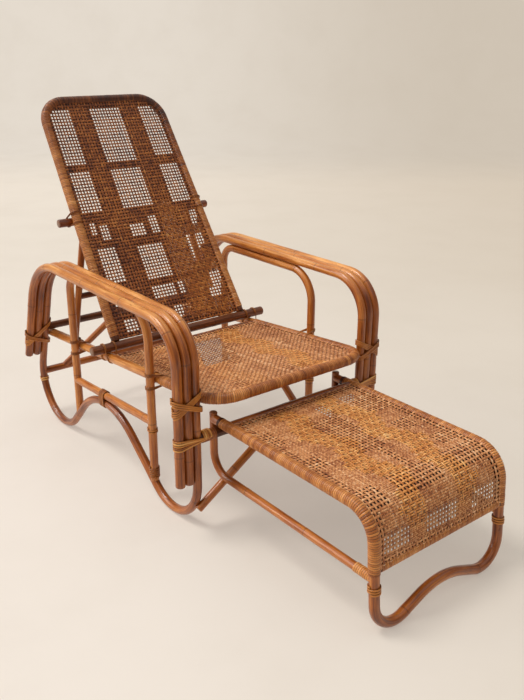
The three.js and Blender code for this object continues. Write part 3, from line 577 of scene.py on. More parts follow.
def cane_material(name, stops, gap_shade_colour, gap_shade_share, gold_stops=None, coat=0.08, rough=0.5):
    """Split cane: fibres along each strand, strands of unlike tone, and painted shade on their
    lower edges.
    """
    s = Shader(bpy.data.materials.new(name))
    place = s.node("TexCoord").outputs["Object"]
    fibre = s.noise(s.attribute("grain", "Vector"), 900, (1, 1, 0.06))
    blotch, wide = s.noise(place, 26, detail=4), s.noise(place, 7)
    tone = s.shifted(s.attribute("tone"), (fibre, 0.5), (blotch, 0.45), (wide, 0.35))
    colour = s.ramp(tone, stops)
    if gold_stops:
        colour = s.mix(s.attribute("gold"), colour, s.ramp(tone, gold_stops))
    # Painted shade: edges, undersides and gaps are mixed towards a dark shade colour.
    colour = s.mix(s.times(s.attribute("gap_shade"), gap_shade_share), colour, srgb(gap_shade_colour))
    return s.finish(colour, s.shifted(rough, (fibre, 0.25)), fibre, 0.3, 0.0005, coat)


POLE_RED = pole_material(
    "pole_red_brown", "0 2C1004 30 6C300E 55 AA5C1E 80 D2863C 100 F0AE64", "2C1004", 0.22, 0.5, 0.34
)
POLE_DARK = pole_material(
    "pole_dark", "0 1C0B04 35 44200A 60 6E3812 85 985424 100 C07E42", "1C0D06", 0.4, 0.25, 0.42
)
# Each cane's third colour is its painted shade, for edges, undersides and gaps, mixed in up to the
# share after it.
CANE_WRAP = cane_material(
    "cane_wrap", "0 2A1105 28 5E2C0C 55 A45B22 80 D48A44 100 F4B674", "1E0E06", 0.9, None, 0.25, 0.4
)
CANE_GOLD = cane_material(
    "cane_gold", "0 54240E 30 A05C32 60 D8955F 100 FACEA2", "1A0902", 0.95,
    "0 8A4516 40 CC7E38 70 ECA65A 100 FFD292",
)
CANE_BACK = cane_material(
    "cane_back", "0 260F05 35 5E2B10 65 A05A26 100 D08C4A", "120602", 0.9,
    "0 5A280A 40 9E541C 70 CC7C30 100 E8A858",
)
CANE_LASH = cane_material(
    "cane_lashing", "0 542808 40 985218 70 C87E32 100 ECB062", "1F0E05", 0.9, None, 0.25, 0.4
)


def place_piece(piece, material, body, replaces=()):
    piece.data.materials.append(material)
    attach(piece, body)
    if replaces:
        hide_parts(*replaces)


def pole(
    name, points, up, radius, body, seed,
    material=POLE_RED, slot="pole_honey", tone=0.5, closed=False, shade=None,
):
    route = Route(points, up, closed)
    piece = tube(name + "_pole", route, radius, seed, tone, shade)
    place_piece(piece, material, body, [name])
    return route


# Side frames

low_rail_slope = (LOW_RAIL_FRONT_Z - LOW_RAIL_REAR_Z) / (ARCH_FRONT_F - ARCH_REAR_F)


def low_rail_z(f):
    return LOW_RAIL_REAR_Z + (f - ARCH_REAR_F) * low_rail_slope


hump_reach = HUMP_BEND + LOW_RAIL_R + LOOP_R + LASH_EASE
slope_run = hypot(1, low_rail_slope)
hump_z = low_rail_z(HUMP_F) - hump_reach * slope_run
hump_touch_f = HUMP_F - hump_reach * low_rail_slope / slope_run
arm_front = (POST_F - ARM_FRONT_BEND, ARM_Z - ARM_FRONT_BEND, ARM_FRONT_BEND)
arm_rear = (ARM_REAR_F, ARM_Z - ARM_REAR_BEND, ARM_REAR_BEND)
rear_foot = (REAR_FOOT_F, LOOP_FOOT_Z + REAR_FOOT_BEND, REAR_FOOT_BEND)
front_foot = (FRONT_FOOT_F, LOOP_FOOT_Z + FRONT_FOOT_BEND, FRONT_FOOT_BEND)
hump = (HUMP_F, hump_z, -HUMP_BEND)
loop_line = bent([rear_foot, hump, front_foot, arm_front, arm_rear], True)


def loop_crossings(value, axis):
    """Where the loop crosses a height (axis 1) or a place forward (axis 0)."""
    found = []
    for a, b in zip(loop_line, loop_line[1:] + loop_line[:1]):
        if (a[axis] - value) * (b[axis] - value) <= 0 and a[axis] != b[axis]:
            share = (value - a[axis]) / (b[axis] - a[axis])
            found.append(a[1 - axis] + (b[1 - axis] - a[1 - axis]) * share)
    return found


def rear_post_f(z):
    return min(loop_crossings(z, 1))


def runner_z(f):
    return min(loop_crossings(f, 0))


def side_line(route, x):
    return [at(x, f, z) for f, z in route]


def arm_painted_light(points):
    """Painted light: the arms are painted lighter on top, where light from above falls on them, and
    a little darker below.
    """
    return 0.3 * np.clip((points[:, 2] - ARM_Z + 0.03) / 0.04, 0, 1) - 0.1


def side_frame(label, k):
    x = k * LOOP_X
    # The far side's poles are toned a little lighter: painted light, as more light falls on that
    # side.
    seed, light = (10, 0.0) if k < 0 else (40, 0.03)

    def bar(name, line, x, radius, number, tone, **more):
        line = side_line(line, x)
        pole(f"{name}_{label}", line, ACROSS, radius, "frame", seed + number, tone=tone, **more)

    bar("arm_loop", loop_line, x, LOOP_R, 0, light + 0.56, closed=True, shade=arm_painted_light)
    rear_end = (rear_post_f(ARM_END_REAR_Z), ARM_END_REAR_Z, 0)
    arm = bent([(POST_F, ARM_END_FRONT_Z, 0), arm_front, arm_rear, rear_end])
    bar("arm_middle", arm, k * ARM_MIDDLE_X, ARM_R, 1, light + 0.54, shade=arm_painted_light)
    bar("arm_outer", arm, k * ARM_OUTER_X, ARM_R, 2, light + 0.59, shade=arm_painted_light)
    top = ARM_Z - LOOP_R - ARCH_R - GAP
    arch = [
        (ARCH_FRONT_F, runner_z(ARCH_FRONT_F), 0),
        (ARCH_FRONT_F - ARCH_FRONT_BEND, top - ARCH_FRONT_BEND, ARCH_FRONT_BEND),
        (ARCH_REAR_F + ARCH_REAR_BEND, top - ARCH_REAR_BEND, ARCH_REAR_BEND),
        (ARCH_REAR_F, runner_z(ARCH_REAR_F), 0),
    ]
    bar("arch", bent(arch), x, ARCH_R, 3, 0.66)
    rail = [(f, low_rail_z(f)) for f in (ARCH_REAR_F, ARCH_FRONT_F)]
    bar("side_rail", rail, x, LOW_RAIL_R, 4, 0.66)


# Seat, crossbars and braces

SEAT_UP = np.array([0.0, sin(SEAT_PITCH), cos(SEAT_PITCH)])
SEAT_FORWARD = np.array([0.0, -cos(SEAT_PITCH), sin(SEAT_PITCH)])
seat_bar_f = HINGE_F + SEAT_BAR_SETBACK


def on_seat(x, f, n=0.0):
    return at(x, f, seat_z(f)) + np.multiply.outer(n, SEAT_UP)


def round_corner(foot, first, half, reach, bend):
    """A flat U: up one side, round two corners and down the other."""
    x, end = half - bend, reach - bend
    return bent([(-foot, first, 0), (-x, end, -bend), (x, end, -bend), (foot, first, 0)])


def seat():
    plan = round_corner(SEAT_X, 0, SEAT_X, SEAT_FRONT_F, SEAT_CORNER_BEND)
    rim = [on_seat(x, f) for x, f in plan]
    rim = pole("seat_frame", rim, SEAT_UP, SEAT_R, "frame", 71, tone=0.78)
    bare = (ARCH_FRONT_F + 2 * LOOP_R) / cos(SEAT_PITCH)
    end = rim.length - seat_bar_f / cos(SEAT_PITCH)
    sleeve("seat_binding", rim, SEAT_R, "frame", 72, bare, end, 0.62)
    ends = bar_ends(SEAT_X, on_seat, seat_bar_f)
    bar = pole("seat_rear_bar", ends, SEAT_UP, SEAT_BAR_R, "frame", 73)
    sleeve("seat_rear_binding", bar, SEAT_BAR_R, "frame", 74, SEAT_R, bar.length - SEAT_R, 0.4)


rear_seat_f = rear_post_f(SEAT_Z)
rear_high_f = rear_post_f(seat_z(rear_seat_f) + SEAT_R + CROSS_R)
rear_high_z = seat_z(rear_high_f) + (SEAT_R + CROSS_R + GAP) / cos(SEAT_PITCH)
rear_low_f = rear_post_f(REAR_LOW_Z)


def crossbars():
    for name, f, z, radius, seed, material, tone in (
        ("rear_crossbar_upper", rear_high_f, rear_high_z, CROSS_R, 81, POLE_DARK, 0.45),
        ("rear_crossbar_lower", rear_low_f, REAR_LOW_Z, CROSS_R, 82, POLE_RED, 0.5),
        ("front_crossbar", POST_F, FRONT_CROSS_Z, FRONT_CROSS_R, 83, POLE_DARK, 0.5),
    ):
        ends = bar_ends(LOOP_X, at, f, z)
        bar = pole(name, ends, UP, radius, "frame", seed, material, tone=tone)
    for label, start in (("right", LOOP_R), ("left", bar.length - LOOP_R - CROSS_BINDING)):
        end = start + CROSS_BINDING
        sleeve(f"crossbar_binding_{label}", bar, FRONT_CROSS_R, "frame", 90, start, end, 0.45)
    for label, k in SIDES.items():
        foot = at(k * BRACE_REAR_FOOT_X, rear_low_f, REAR_LOW_Z)
        apex = at(k * BRACE_APEX_SPREAD, rear_high_f, rear_high_z)
        pole(f"rear_brace_{label}", [foot, apex], FORWARD, BRACE_R, "frame", 84 + k, tone=0.55)
        foot = at(k * LOOP_X, POST_F, BRACE_FRONT_FOOT_Z)
        apex = at(k * BRACE_APEX_SPREAD, POST_F, FRONT_CROSS_Z - BRACE_FRONT_DROP)
        pole(f"front_brace_{label}", [foot, apex], FORWARD, BRACE_R, "frame", 87 + k, tone=0.6)


# Back, in its own plane: L runs up from the hinge bar, N stands off towards the sitter

hinge_z = seat_z(HINGE_F) + (SEAT_R + GAP + HINGE_R) / cos(SEAT_PITCH)
BACK_UP = np.array([0.0, cos(BACK_ANGLE), sin(BACK_ANGLE)])
BACK_OUT = np.array([0.0, -sin(BACK_ANGLE), cos(BACK_ANGLE)])
mid_offset = -(HOOP_R + MID_R + GAP)


def on_back(x, l, n=0.0):
    rise = np.multiply.outer(l, BACK_UP) + np.multiply.outer(n, BACK_OUT)
    return at(x, HINGE_F, hinge_z) + rise


def hoop_x(l):
    return HOOP_BOTTOM_X + (HOOP_TOP_X - HOOP_BOTTOM_X) * l / BACK_LENGTH


def darker_top(share):
    """The binding is darkest along the top of the back."""
    return -0.5 * np.exp(-(((share - 0.54) / 0.16) ** 2))


def back():
    ends = bar_ends(HINGE_BAR_X, at, HINGE_F, hinge_z)
    pole("back_hinge_bar", ends, BACK_UP, HINGE_R, "back", 101, POLE_DARK, "pole_brown", tone=0.62)
    plan = round_corner(HOOP_BOTTOM_X, HINGE_R, HOOP_TOP_X, BACK_LENGTH, HOOP_CORNER_BEND)
    hoop = [on_back(x, l) for x, l in plan]
    hoop = pole("back_hoop", hoop, BACK_OUT, HOOP_R, "back", 102, POLE_DARK)
    end = hoop.length - HINGE_R
    sleeve("back_binding", hoop, HOOP_R, "back", 103, HINGE_R, end, 0.71, tones=darker_top)
    ends = bar_ends(MID_X, on_back, MID_L, mid_offset)
    pole("back_mid_pole", ends, BACK_OUT, MID_R, "back", 104, tone=0.35)


def prop():
    hold = []
    for label, k in SIDES.items():
        top = on_back(k * PROP_TOP_X, MID_L, mid_offset)
        bottom = on_seat(k * SEAT_X, PROP_FOOT_F, SEAT_R + PAD_HEIGHT + GAP)
        way = unit(bottom - top)
        leg = [top + way * (EYE_R - GAP * 10), bottom]
        pole(f"prop_leg_{label}", leg, ACROSS, PROP_R, "prop", 120 + k, tone=0.6)
        eye = ring_eye(f"prop_eye_{label}", top, unit(way * (0, 1, 1)))
        place_piece(eye, POLE_RED, "prop")
        hold.append(top + (bottom - top) * PROP_BAR_DROP / (top - bottom)[2])
    pole("prop_crossbar", hold, BACK_OUT, PROP_BAR_R, "prop", 125, POLE_DARK)


def ring_eye(name, middle, u):
    """The prop's eye: a short sleeve with eased rims, open for the pole it turns on."""
    bore, rim = MID_R + 0.0005, EYE_R - 0.0012
    section = [(0.5, bore), (0.5, rim), (0.42, EYE_R), (-0.42, EYE_R), (-0.5, rim), (-0.5, bore)]
    along, reach = np.array(section).T[..., None]
    turn = np.linspace(0, 2 * pi, EYE_SIDES, endpoint=False)[:, None]
    out = np.cos(turn) * u + np.sin(turn) * np.cross(ACROSS, u)
    vertices = middle + along * EYE_WIDTH * ACROSS + reach * out[:, None]
    vertices = vertices.reshape(-1, 3)
    zero = np.zeros(len(vertices))
    attributes = {"grain": vertices, "ring": zero, "cut": zero, "tone": zero + 0.5}
    return build(name, vertices, grid_faces(EYE_SIDES, len(section), True), attributes)


# Footrest

def rest_leg_f(z):
    return REST_FOOT_F - (z - REST_FOOT_Z) * tan(REST_RAKE)


rest_bend_f = rest_leg_f(REST_Z) - REST_BEND * tan(pi / 4 - REST_RAKE / 2)
rest_bar_f = POST_F + REST_BAR_LEAD


def rest_profile(start_f, end_z):
    bend = (rest_bend_f, REST_Z - REST_BEND, -REST_BEND)
    return bent([(start_f, REST_Z, 0), bend, (rest_leg_f(end_z), end_z, 0)])


def slid_under(points):
    """Level underneath, where the rails slide over the front crossbar."""
    rails = SHIFT - points[:, 1] < rest_bend_f
    points[rails, 2] = np.maximum(points[rails, 2], REST_Z - REST_R)


def footrest():
    foot_z = REST_FOOT_Z + REST_FOOT_BEND
    foot = [
        (-REST_X, REST_LOW_Z, 0),
        (-REST_FOOT_X, foot_z, REST_FOOT_BEND),
        (0, REST_HUMP_Z - REST_HUMP_BEND, -REST_HUMP_BEND),
        (REST_FOOT_X, foot_z, REST_FOOT_BEND),
        (REST_X, REST_LOW_Z, 0),
    ]
    side = rest_profile(REST_BACK_F, REST_LOW_Z)
    line = side_line(side, -REST_X)
    line += [at(x, rest_leg_f(z), z) for x, z in bent(foot)[1:-1]]
    line += side_line(side[::-1], REST_X)
    rail = pole("footrest_frame", line, ACROSS, REST_R, "footrest", 141)
    bound = Route(line[: len(side)], ACROSS).length
    bound += REST_LOW_Z - REST_FRONT_BAR_Z + REST_BAR_R
    for label, start, end in (
        ("right", REST_BAR_LEAD, bound),
        ("left", rail.length - bound, rail.length - REST_BAR_LEAD),
    ):
        name = f"footrest_binding_{label}"
        sleeve(name, rail, REST_R, "footrest", 142, start, end, 0.66, wear=slid_under)
    low = [
        (REST_BACK_F, REST_Z + REST_R + REST_STUB, 0),
        (REST_BACK_F + REST_LOW_BEND, REST_LOW_Z + REST_LOW_BEND, REST_LOW_BEND),
        (rest_leg_f(REST_LOW_Z), REST_LOW_Z, 0),
    ]
    for label, k in SIDES.items():
        name = f"footrest_low_rail_{label}"
        points = side_line(bent(low), k * REST_X)
        bar = pole(name, points, ACROSS, REST_LOW_R, "footrest", 150 + k, tone=0.52)
        name, end = f"footrest_low_binding_{label}", bar.length
        sleeve(name, bar, REST_LOW_R, "footrest", 153 + k, end - REST_LOW_BINDING, end, 0.8)
        rail = Route(line[::-k], ACROSS)
        start = REST_BAR_LEAD - 2 * WRAP_PITCH
        sleeve(f"footrest_ring_{label}", rail, REST_R, "footrest", 165, start, REST_BAR_LEAD, 0.15)
    rear = bar_ends(REST_X, at, rest_bar_f, REST_Z)
    pole("footrest_rear_bar", rear, UP, REST_BAR_R, "footrest", 160, slot="pole_brown", tone=0.42)
    front = bar_ends(REST_X, at, rest_leg_f(REST_FRONT_BAR_Z), REST_FRONT_BAR_Z)
    bar = pole("footrest_front_bar", front, UP, REST_BAR_R, "footrest", 161, POLE_DARK)
    end = bar.length - REST_R
    sleeve("footrest_front_binding", bar, REST_BAR_R, "footrest", 162, REST_R, end, 0.66)


# Woven panels

WEAVE_STEP = 0.0053
WEAVE_BLOCK = 3 * WEAVE_STEP
OPEN_WIDTH = 0.0048
OPEN_THICK = 0.0011
TIGHT_SHARE = 0.95
GOLD_SHARE = 1.0
# Sunk strands lie low, wide and painted nearly black: a painted shade under the holes of pitted
# parts.
SUNK_SHARE = 1.75
SUNK_LIFTS = (-2.0, -2.8)
LIFT_SHARE = 0.52
SHORTEST_RUN = 4
STRAND_STRAY = 0.00022
STRAND_TONES = (0.48, 0.07)


def boxes(*millimetres):
    """Boxes in the weave, each from and to across, and from and to along."""
    return [tuple(edge / 1000 for edge in box) for box in millimetres]


BACK_OPEN = boxes(
    (-196, -127, 585, 772), (-55, 55, 585, 772), (127, 196, 590, 772), (-196, -127, 424, 560),
    (-55, 55, 424, 556), (127, 196, 418, 562), (-190, -168, 350, 392), (-158, -132, 330, 376),
    (-57, 0, 322, 372), (20, 50, 330, 388), (150, 196, 334, 388), (-190, -130, 184, 300),
    (-57, 36, 180, 294), (130, 190, 258, 304), (130, 172, 214, 258), (-55, 22, 108, 156),
    (40, 60, 106, 156), (-200, -160, 90, 150), (168, 204, 112, 168), (146, 204, 82, 112),
    (-4, 62, 36, 82), (-190, -140, 30, 72),
)
SEAT_PITTED = boxes(
    (-155, -120, 866, 925), (26, 88, 868, 918), (164, 184, 664, 722), (-215, -150, 560, 700),
)
REST_PITTED = boxes(
    (-60, 40, 1075, 1185), (-55, 30, 1185, 1262), (-12, 8, 1265, 1362), (-222, -150, 1198, 1250),
    (-200, -160, 1040, 1110), (107, 172, 1190, 1236), (120, 205, 1015, 1125),
    (130, 200, 1290, 1345),
)
REST_OPEN = boxes((20, 46, 1005, 1075), (110, 160, 995, 1035))
REST_BEND_PITTED = boxes((-216, -138), (-104, 42), (84, 216))
REST_FRONT_OPEN = boxes((-190, -112), (-60, 52), (98, 195))


def crossings(half_at, low, high):
    """Where the strands of a panel cross: places across and along."""
    v = np.linspace(low, high, round((high - low) / WEAVE_STEP) + 1)
    half = half_at(v)
    x = np.linspace(-1, 1, 2 * round(half.max() / WEAVE_STEP) + 1)[:, None] * half
    return x, np.broadcast_to(v, x.shape)


def weave(
    name, material, body, points, out, inside, opened, pitted, gold, twill, spots, thick,
    open_wide=1.0, pit_wide=1.0, open_dark=0.0,
):
    """A woven panel on a middle surface, out being its outward direction.

    Where it is opened, only every other strand runs. Where it is pitted, those between lie sunk and
    are painted nearly black, as shade in the holes.
    gold is how golden it is. twill(i, j) is 1 where the lengthways strand is on top, else -1.
    """
    dense, pitted = ~(opened | pitted), pitted & ~opened
    golden = dense & (gold > 0.5)
    i, j = np.indices(gold.shape)
    middle = len(gold) // 2
    plain = np.where((i % 2 == 0) & (j % 2 == 0), ((i // 2 + j // 2) % 2) * 2.0 - 1, 0.0)
    tight = np.where(golden, floats(i, j), twill(i - middle, j))
    over = np.where(dense, tight, plain)
    # Painted shade: dark spots on the dense weave stand for the shade in its small holes, and dark
    # dashes on the golden floats for the shade between them.
    spot = 0.6 * (dense & ~golden & spots(i - middle, j))
    dash = 0.75 * (golden & (j % 3 == 2) & ((i // 2 + j // 3) % 2 == 0))
    out = np.broadcast_to(out, points.shape)
    for crossways, way, lift, dark, odd in (
        (0, "lengthways", over, spot, i % 2 == 1),
        (1, "crossways", -over, dash, j % 2 == 1),
    ):
        strands = Strands(OPEN_WIDTH, thick)
        lift = np.where(pitted & odd, SUNK_LIFTS[crossways], lift)
        # Sunk strands are painted nearly black, and strands in open parts darker by open_dark:
        # painted shade.
        dark = np.where(pitted & odd, 1.0, dark + open_dark * opened)
        wide = np.where(pitted & odd, SUNK_SHARE, np.where(opened, open_wide, pit_wide))
        grids = points, out, inside, opened, dense, gold, lift, dark, wide
        grids = [np.swapaxes(grid, 0, crossways) for grid in grids]
        for n, row in enumerate(zip(*grids)):
            line, outs, within, open_here, close, golds, lifts, darks, wides = row
            tone = dice.normal(*STRAND_TONES)
            golds = golds * dice.uniform(0.75, 1.0)
            wides = np.where(close, TIGHT_SHARE + (GOLD_SHARE - TIGHT_SHARE) * golds, wides)
            deep = np.where(open_here, OPEN_THICK / thick, 1.0)
            line = line + outs * (lifts * deep * thick * LIFT_SHARE)[:, None]
            present = within & (~open_here | (n % 2 == 0))
            ends = np.flatnonzero(np.diff(np.concatenate([[0], present, [0]])))
            for start, stop in zip(ends[::2], ends[1::2]):
                if stop - start < SHORTEST_RUN:
                    continue
                part = slice(start, stop)
                centre = line[part] + dice.normal(0, STRAND_STRAY, 3) * (1, 1, 0.3)
                # Painted light and shade: a strand is lighter where it passes over and darker where
                # it dips under.
                tones = tone + 0.08 * np.maximum(lifts[part], -1)
                tones += dice.normal(0, 0.11, stop - start)
                shares = (values[part] for values in (golds, wides, deep, darks))
                strands.add(centre, outs[part], tones, *shares)
        place_piece(strands.mesh(f"{name}_{way}"), material, body, [name][crossways:])


def in_boxes(x, v, places):
    found = np.zeros(x.shape, bool)
    for x0, x1, v0, v1 in places:
        found |= (x > x0) & (x < x1) & (v > v0) & (v < v1)
    return found


def beyond(x, v, half, low, high):
    return (np.abs(x) > half) | (v < low) | (v > high)


def rounded(x, v, half, top, bend):
    """Inside a panel whose two far corners are rounded."""
    dx = np.maximum(np.abs(x) - (half - bend), 0)
    dv = np.maximum(v - (top - bend), 0)
    return (np.hypot(dx, dv) <= bend) & (v <= top)


def edge_rise(away, low, high, width):
    """Height over the rails' plane: low inside the panel, high beside a rail."""
    return low + (high - low) * np.clip(1 - away / width, 0, 1) ** 2


def sagging(x, half, along):
    return np.cos(pi * x / (2 * half)) * np.sin(pi * np.clip(along, 0, 1))


def zigzag(x, v, middle, half, swing, period):
    """A band along v whose middle steps from side to side, in whole blocks of the weave."""
    x, v = np.round(x / WEAVE_BLOCK) * WEAVE_BLOCK, np.round(v / WEAVE_BLOCK) * WEAVE_BLOCK
    shift = swing * (4 * np.abs((v / period) % 1 - 0.5) - 1)
    return np.abs(np.abs(x) - middle - shift) < half


def floats(i, j):
    """Long crossways floats in stacks of three, each stack set off from the next."""
    return np.where((i + 2 * (j // 3)) % 4 == 0, 1.0, -1.0)


def slant_spots(i, j):
    return ((i + j) % 3 == 1) & (i % 2 == 0)


def square_spots(i, j):
    return (i % 2 == 0) & (j % 2 == 0)


def plain_weave(i, j):
    return ((i + j) % 2) * 2.0 - 1


def slant_twill(i, j):
    """Over two and under one, in slanting lines."""
    return np.where((i + j) % 3 == 0, -1.0, 1.0)


def back_panel():
    first, margin = HINGE_R + 0.004, 0.021
    x, l = crossings(hoop_x, first, BACK_LENGTH)
    half = hoop_x(l)
    away = np.minimum(half - np.abs(x), BACK_LENGTH - l)
    sag = 0.0025 * sagging(x, HOOP_BOTTOM_X, l / BACK_LENGTH)
    points = on_back(x, l, edge_rise(away, 0.0042, 0.0088, 0.035) - sag)
    low_right = np.clip((x + 0.1) / 0.2, 0, 1) * np.clip((0.52 - l) / 0.25, 0, 1)
    band = zigzag(x, l, 0.092, 0.026, 0.012, 0.13)
    gold = np.clip(0.05 + 0.25 * band + 0.6 * low_right, 0, 1)
    border = beyond(x, l, half - margin, first + margin / 2, BACK_LENGTH - margin)
    inside = rounded(x, l, half, BACK_LENGTH, HOOP_CORNER_BEND)
    weave(
        "back_weave", CANE_BACK, "back", points, BACK_OUT, inside,
        in_boxes(x, l, BACK_OPEN), border | (gold < 0.5), gold, plain_weave, square_spots, 0.0014,
        pit_wide=1.42,
    )


def seat_panel():
    margin = 0.019
    x, f = crossings(lambda f: SEAT_X + 0 * f, seat_bar_f, SEAT_FRONT_F)
    ahead = f - seat_bar_f
    away = np.minimum(np.minimum(SEAT_X - np.abs(x), SEAT_FRONT_F - f), ahead * 1.2)
    sag = 0.003 * sagging(x, SEAT_X, ahead / (SEAT_FRONT_F - seat_bar_f))
    points = on_seat(x, f, edge_rise(away, 0.0050, 0.0105, 0.04) - sag)
    across = x + 0.02 - (0.6 - f) * 0.5
    window = (np.abs(across) < 0.046) & (f > 0.50) & (f < 0.71)
    beside = (np.abs(across - 0.05) < 0.02) & (f > 0.55) & (f < 0.75)
    border = beyond(x, f, SEAT_X - margin, seat_bar_f + margin, SEAT_FRONT_F - margin)
    band = zigzag(x, f, 0.105, 0.034, 0.022, 0.16)
    near = np.clip((0.03 - x) / 0.1, 0, 1)
    gold = np.clip(0.1 + 0.9 * band * (1 - 0.7 * near), 0, 1)
    inside = rounded(x, f, SEAT_X, SEAT_FRONT_F, SEAT_CORNER_BEND)
    weave(
        "seat_weave", CANE_GOLD, "frame", points, SEAT_UP, inside, window,
        border | beside | in_boxes(x, f, SEAT_PITTED), gold, slant_twill, slant_spots, 0.0019,
        open_wide=1.2, pit_wide=1.25, open_dark=0.32,
    )


def footrest_panel():
    margin = 0.019
    line = Route([at(0, f, z) for f, z in rest_profile(rest_bar_f, REST_FRONT_BAR_Z)], UP)
    length = line.length
    x, s = crossings(lambda s: REST_X + 0 * s, 0.87 * REST_BAR_R, length)
    middle, _, out, _ = line.sample(s)
    n = edge_rise(np.minimum(REST_X - np.abs(x), length - s), 0.0055, 0.0100, 0.035)
    points = middle + x[..., None] * ACROSS + n[..., None] * out
    bend_s = rest_bend_f - rest_bar_f
    face_s = bend_s + REST_BEND * (pi / 2 - REST_RAKE)
    bends = [(*box, bend_s - 0.012, bend_s + 0.055) for box in REST_BEND_PITTED]
    faces = [(*box, face_s - 0.012, length - 1.6 * margin) for box in REST_FRONT_OPEN]
    f = s + rest_bar_f
    opened = in_boxes(x, s, faces) | in_boxes(x, f, REST_OPEN)
    border = beyond(x, s, REST_X - 1.5 * margin, REST_BAR_R + margin, length - margin)
    pitted = border | in_boxes(x, s, bends) | in_boxes(x, f, REST_PITTED)
    band = zigzag(x, s, 0.078, 0.034, 0.020, 0.17) & (s > 0.03)
    gold = np.clip(0.12 + 0.88 * band, 0, 1) * np.clip((length - s) / 0.1, 0.2, 1)
    weave(
        "footrest_weave", CANE_GOLD, "footrest", points, out, s >= 0, opened, pitted,
        gold, plain_weave, square_spots, 0.0019, open_wide=1.4, pit_wide=1.25, open_dark=0.25,
    )


# Lashings


def winding(strands, base, axis, u, v, half, radius, turns, outer, inner=None):
    """Cane wound round one or more poles side by side, half their spread along u.

    outer and inner are the first turn's height and the step to the next, on u's side and the other.
    """
    count = int(turns * WIND_STEPS) + 1
    turn = 2 * pi * (np.arange(count) + 0.5) / WIND_STEPS
    number = np.arange(count) / WIND_STEPS
    c, s = np.cos(turn), np.sin(turn)
    reach = radius + CANE_LIFT
    across = np.sign(c) * half * np.minimum(1, np.abs(c) * 3) + reach * c
    share = (half + reach - across) / (2 * (half + reach))
    inner = inner or outer
    rise = (outer[0] + outer[1] * number) * (1 - share) + (inner[0] + inner[1] * number) * share
    wobble = 0.0003 * np.sin(turn * 0.37 + dice.uniform(0, 6))
    points = base + np.outer(across, u) + np.outer(reach * s + wobble, v) + np.outer(rise, axis)
    strands.add(points, np.outer(c, u) + np.outer(s, v), dice.normal(*LASH_TONES))


def lashing_piece(name, body, strands):
    place_piece(strands.mesh(name + "_cane"), CANE_LASH, body, [name])


def ring_lashing(name, body, base, axis, u, radius, turns, start=0.0, half=0.0, v=None):
    """Turns of cane side by side, from start along the axis."""
    strands = Strands(CANE_WIDTH, CANE_THICK)
    v = np.cross(ACROSS, axis) if v is None else v
    winding(strands, base, axis, u, v, half, radius, turns, (start, CANE_PITCH))
    lashing_piece(name, body, strands)


def crossed(name, base, post, above, below):
    """Two bindings that cross in front and behind, and part round a rail inside."""
    strands = Strands(CANE_WIDTH, CANE_THICK)
    pull = 0.6 * CANE_PITCH
    outer = -5 * CANE_PITCH, CANE_PITCH
    winding(strands, base, **post, turns=4, outer=outer, inner=(above, pull))
    post = dict(post, radius=post["radius"] + CANE_THICK)
    outer = 0.7 * CANE_PITCH, CANE_PITCH
    winding(strands, base, **post, turns=3, outer=outer, inner=(-below - 3 * pull, pull))
    lashing_piece(name, "frame", strands)


def bar_lashing(name, k, turns=5, steps=16):
    """Cane from the three posts of a side over the end of the bar that meets them."""
    strands = Strands(CANE_WIDTH, CANE_THICK)
    turn = pi * np.linspace(-0.5, 0.5, steps + 1)[:, None]
    post_out = ACROSS * k * np.cos(turn) - FORWARD * np.sin(turn)
    turn = pi * np.linspace(0.06, 0.94, steps + 1)[:, None]
    bar_out = UP * np.sin(turn) - FORWARD * np.cos(turn)
    out = np.vstack([post_out, bar_out, post_out[:1]])
    for t in range(turns):
        height = (turns / 2 - 0.5 - t) * CANE_PITCH
        post = at(k * ARM_OUTER_X, POST_F, FRONT_CROSS_Z + height) + post_out * (ARM_R + CANE_LIFT)
        bar = at(k * (LOOP_X - LOOP_R - (0.6 + t) * CANE_WIDTH), POST_F, FRONT_CROSS_Z)
        bar = bar + bar_out * (FRONT_CROSS_R + CANE_LIFT + 0.0012)
        points = np.vstack([post, bar, post[:1]])
        line = Route(points, UP)
        stops = np.linspace(0, line.length, int(line.length / CORD_STEP))
        facing = np.stack([np.interp(stops, lengths(points), way) for way in out.T], axis=-1)
        strands.add(line.sample(stops)[0], facing, dice.normal(*LASH_TONES))
    lashing_piece(name, "frame", strands)


def saddle(name, body, base, a, h, v, over_r, under_r, apart, turns, slack=0.0, steps=8):
    """Round cane that saddles the crossing of two poles, each apart from base along a."""
    route = []
    pitch = 2.3 * CORD_R
    step = pitch / 4
    over, under = over_r + slack + CORD_R + GAP, under_r + CORD_R + GAP
    for t in range(turns):
        stand_over, stand_under = under + pitch * t, over + pitch * t
        for sense, reach, flat, way, stand, along in (
            (1, over, h, 1, stand_over, v),
            (-1, under, v, 1, -stand_under - step, h),
            (1, over, h, -1, -stand_over - 2 * step, v),
            (-1, under, v, -1, stand_under + 3 * step, h),
        ):
            for turn in np.linspace(0, pi, steps + 1):
                out = a * sense * (apart + reach * sin(turn))
                route.append(base + out + flat * way * reach * cos(turn) + along * stand)
    line = Route(route, a)
    place, _, normal, _ = line.sample(np.linspace(0, line.length, int(line.length / CORD_STEP)))
    turns = np.arange(8) * pi / 4
    section = np.stack([np.cos(turns), np.sin(turns)], axis=-1) / 2
    strands = Strands(2 * CORD_R, 2 * CORD_R, section, [0.3] * 8)
    strands.add(place, normal, dice.normal(*CORD_TONES))
    lashing_piece(name, body, strands)


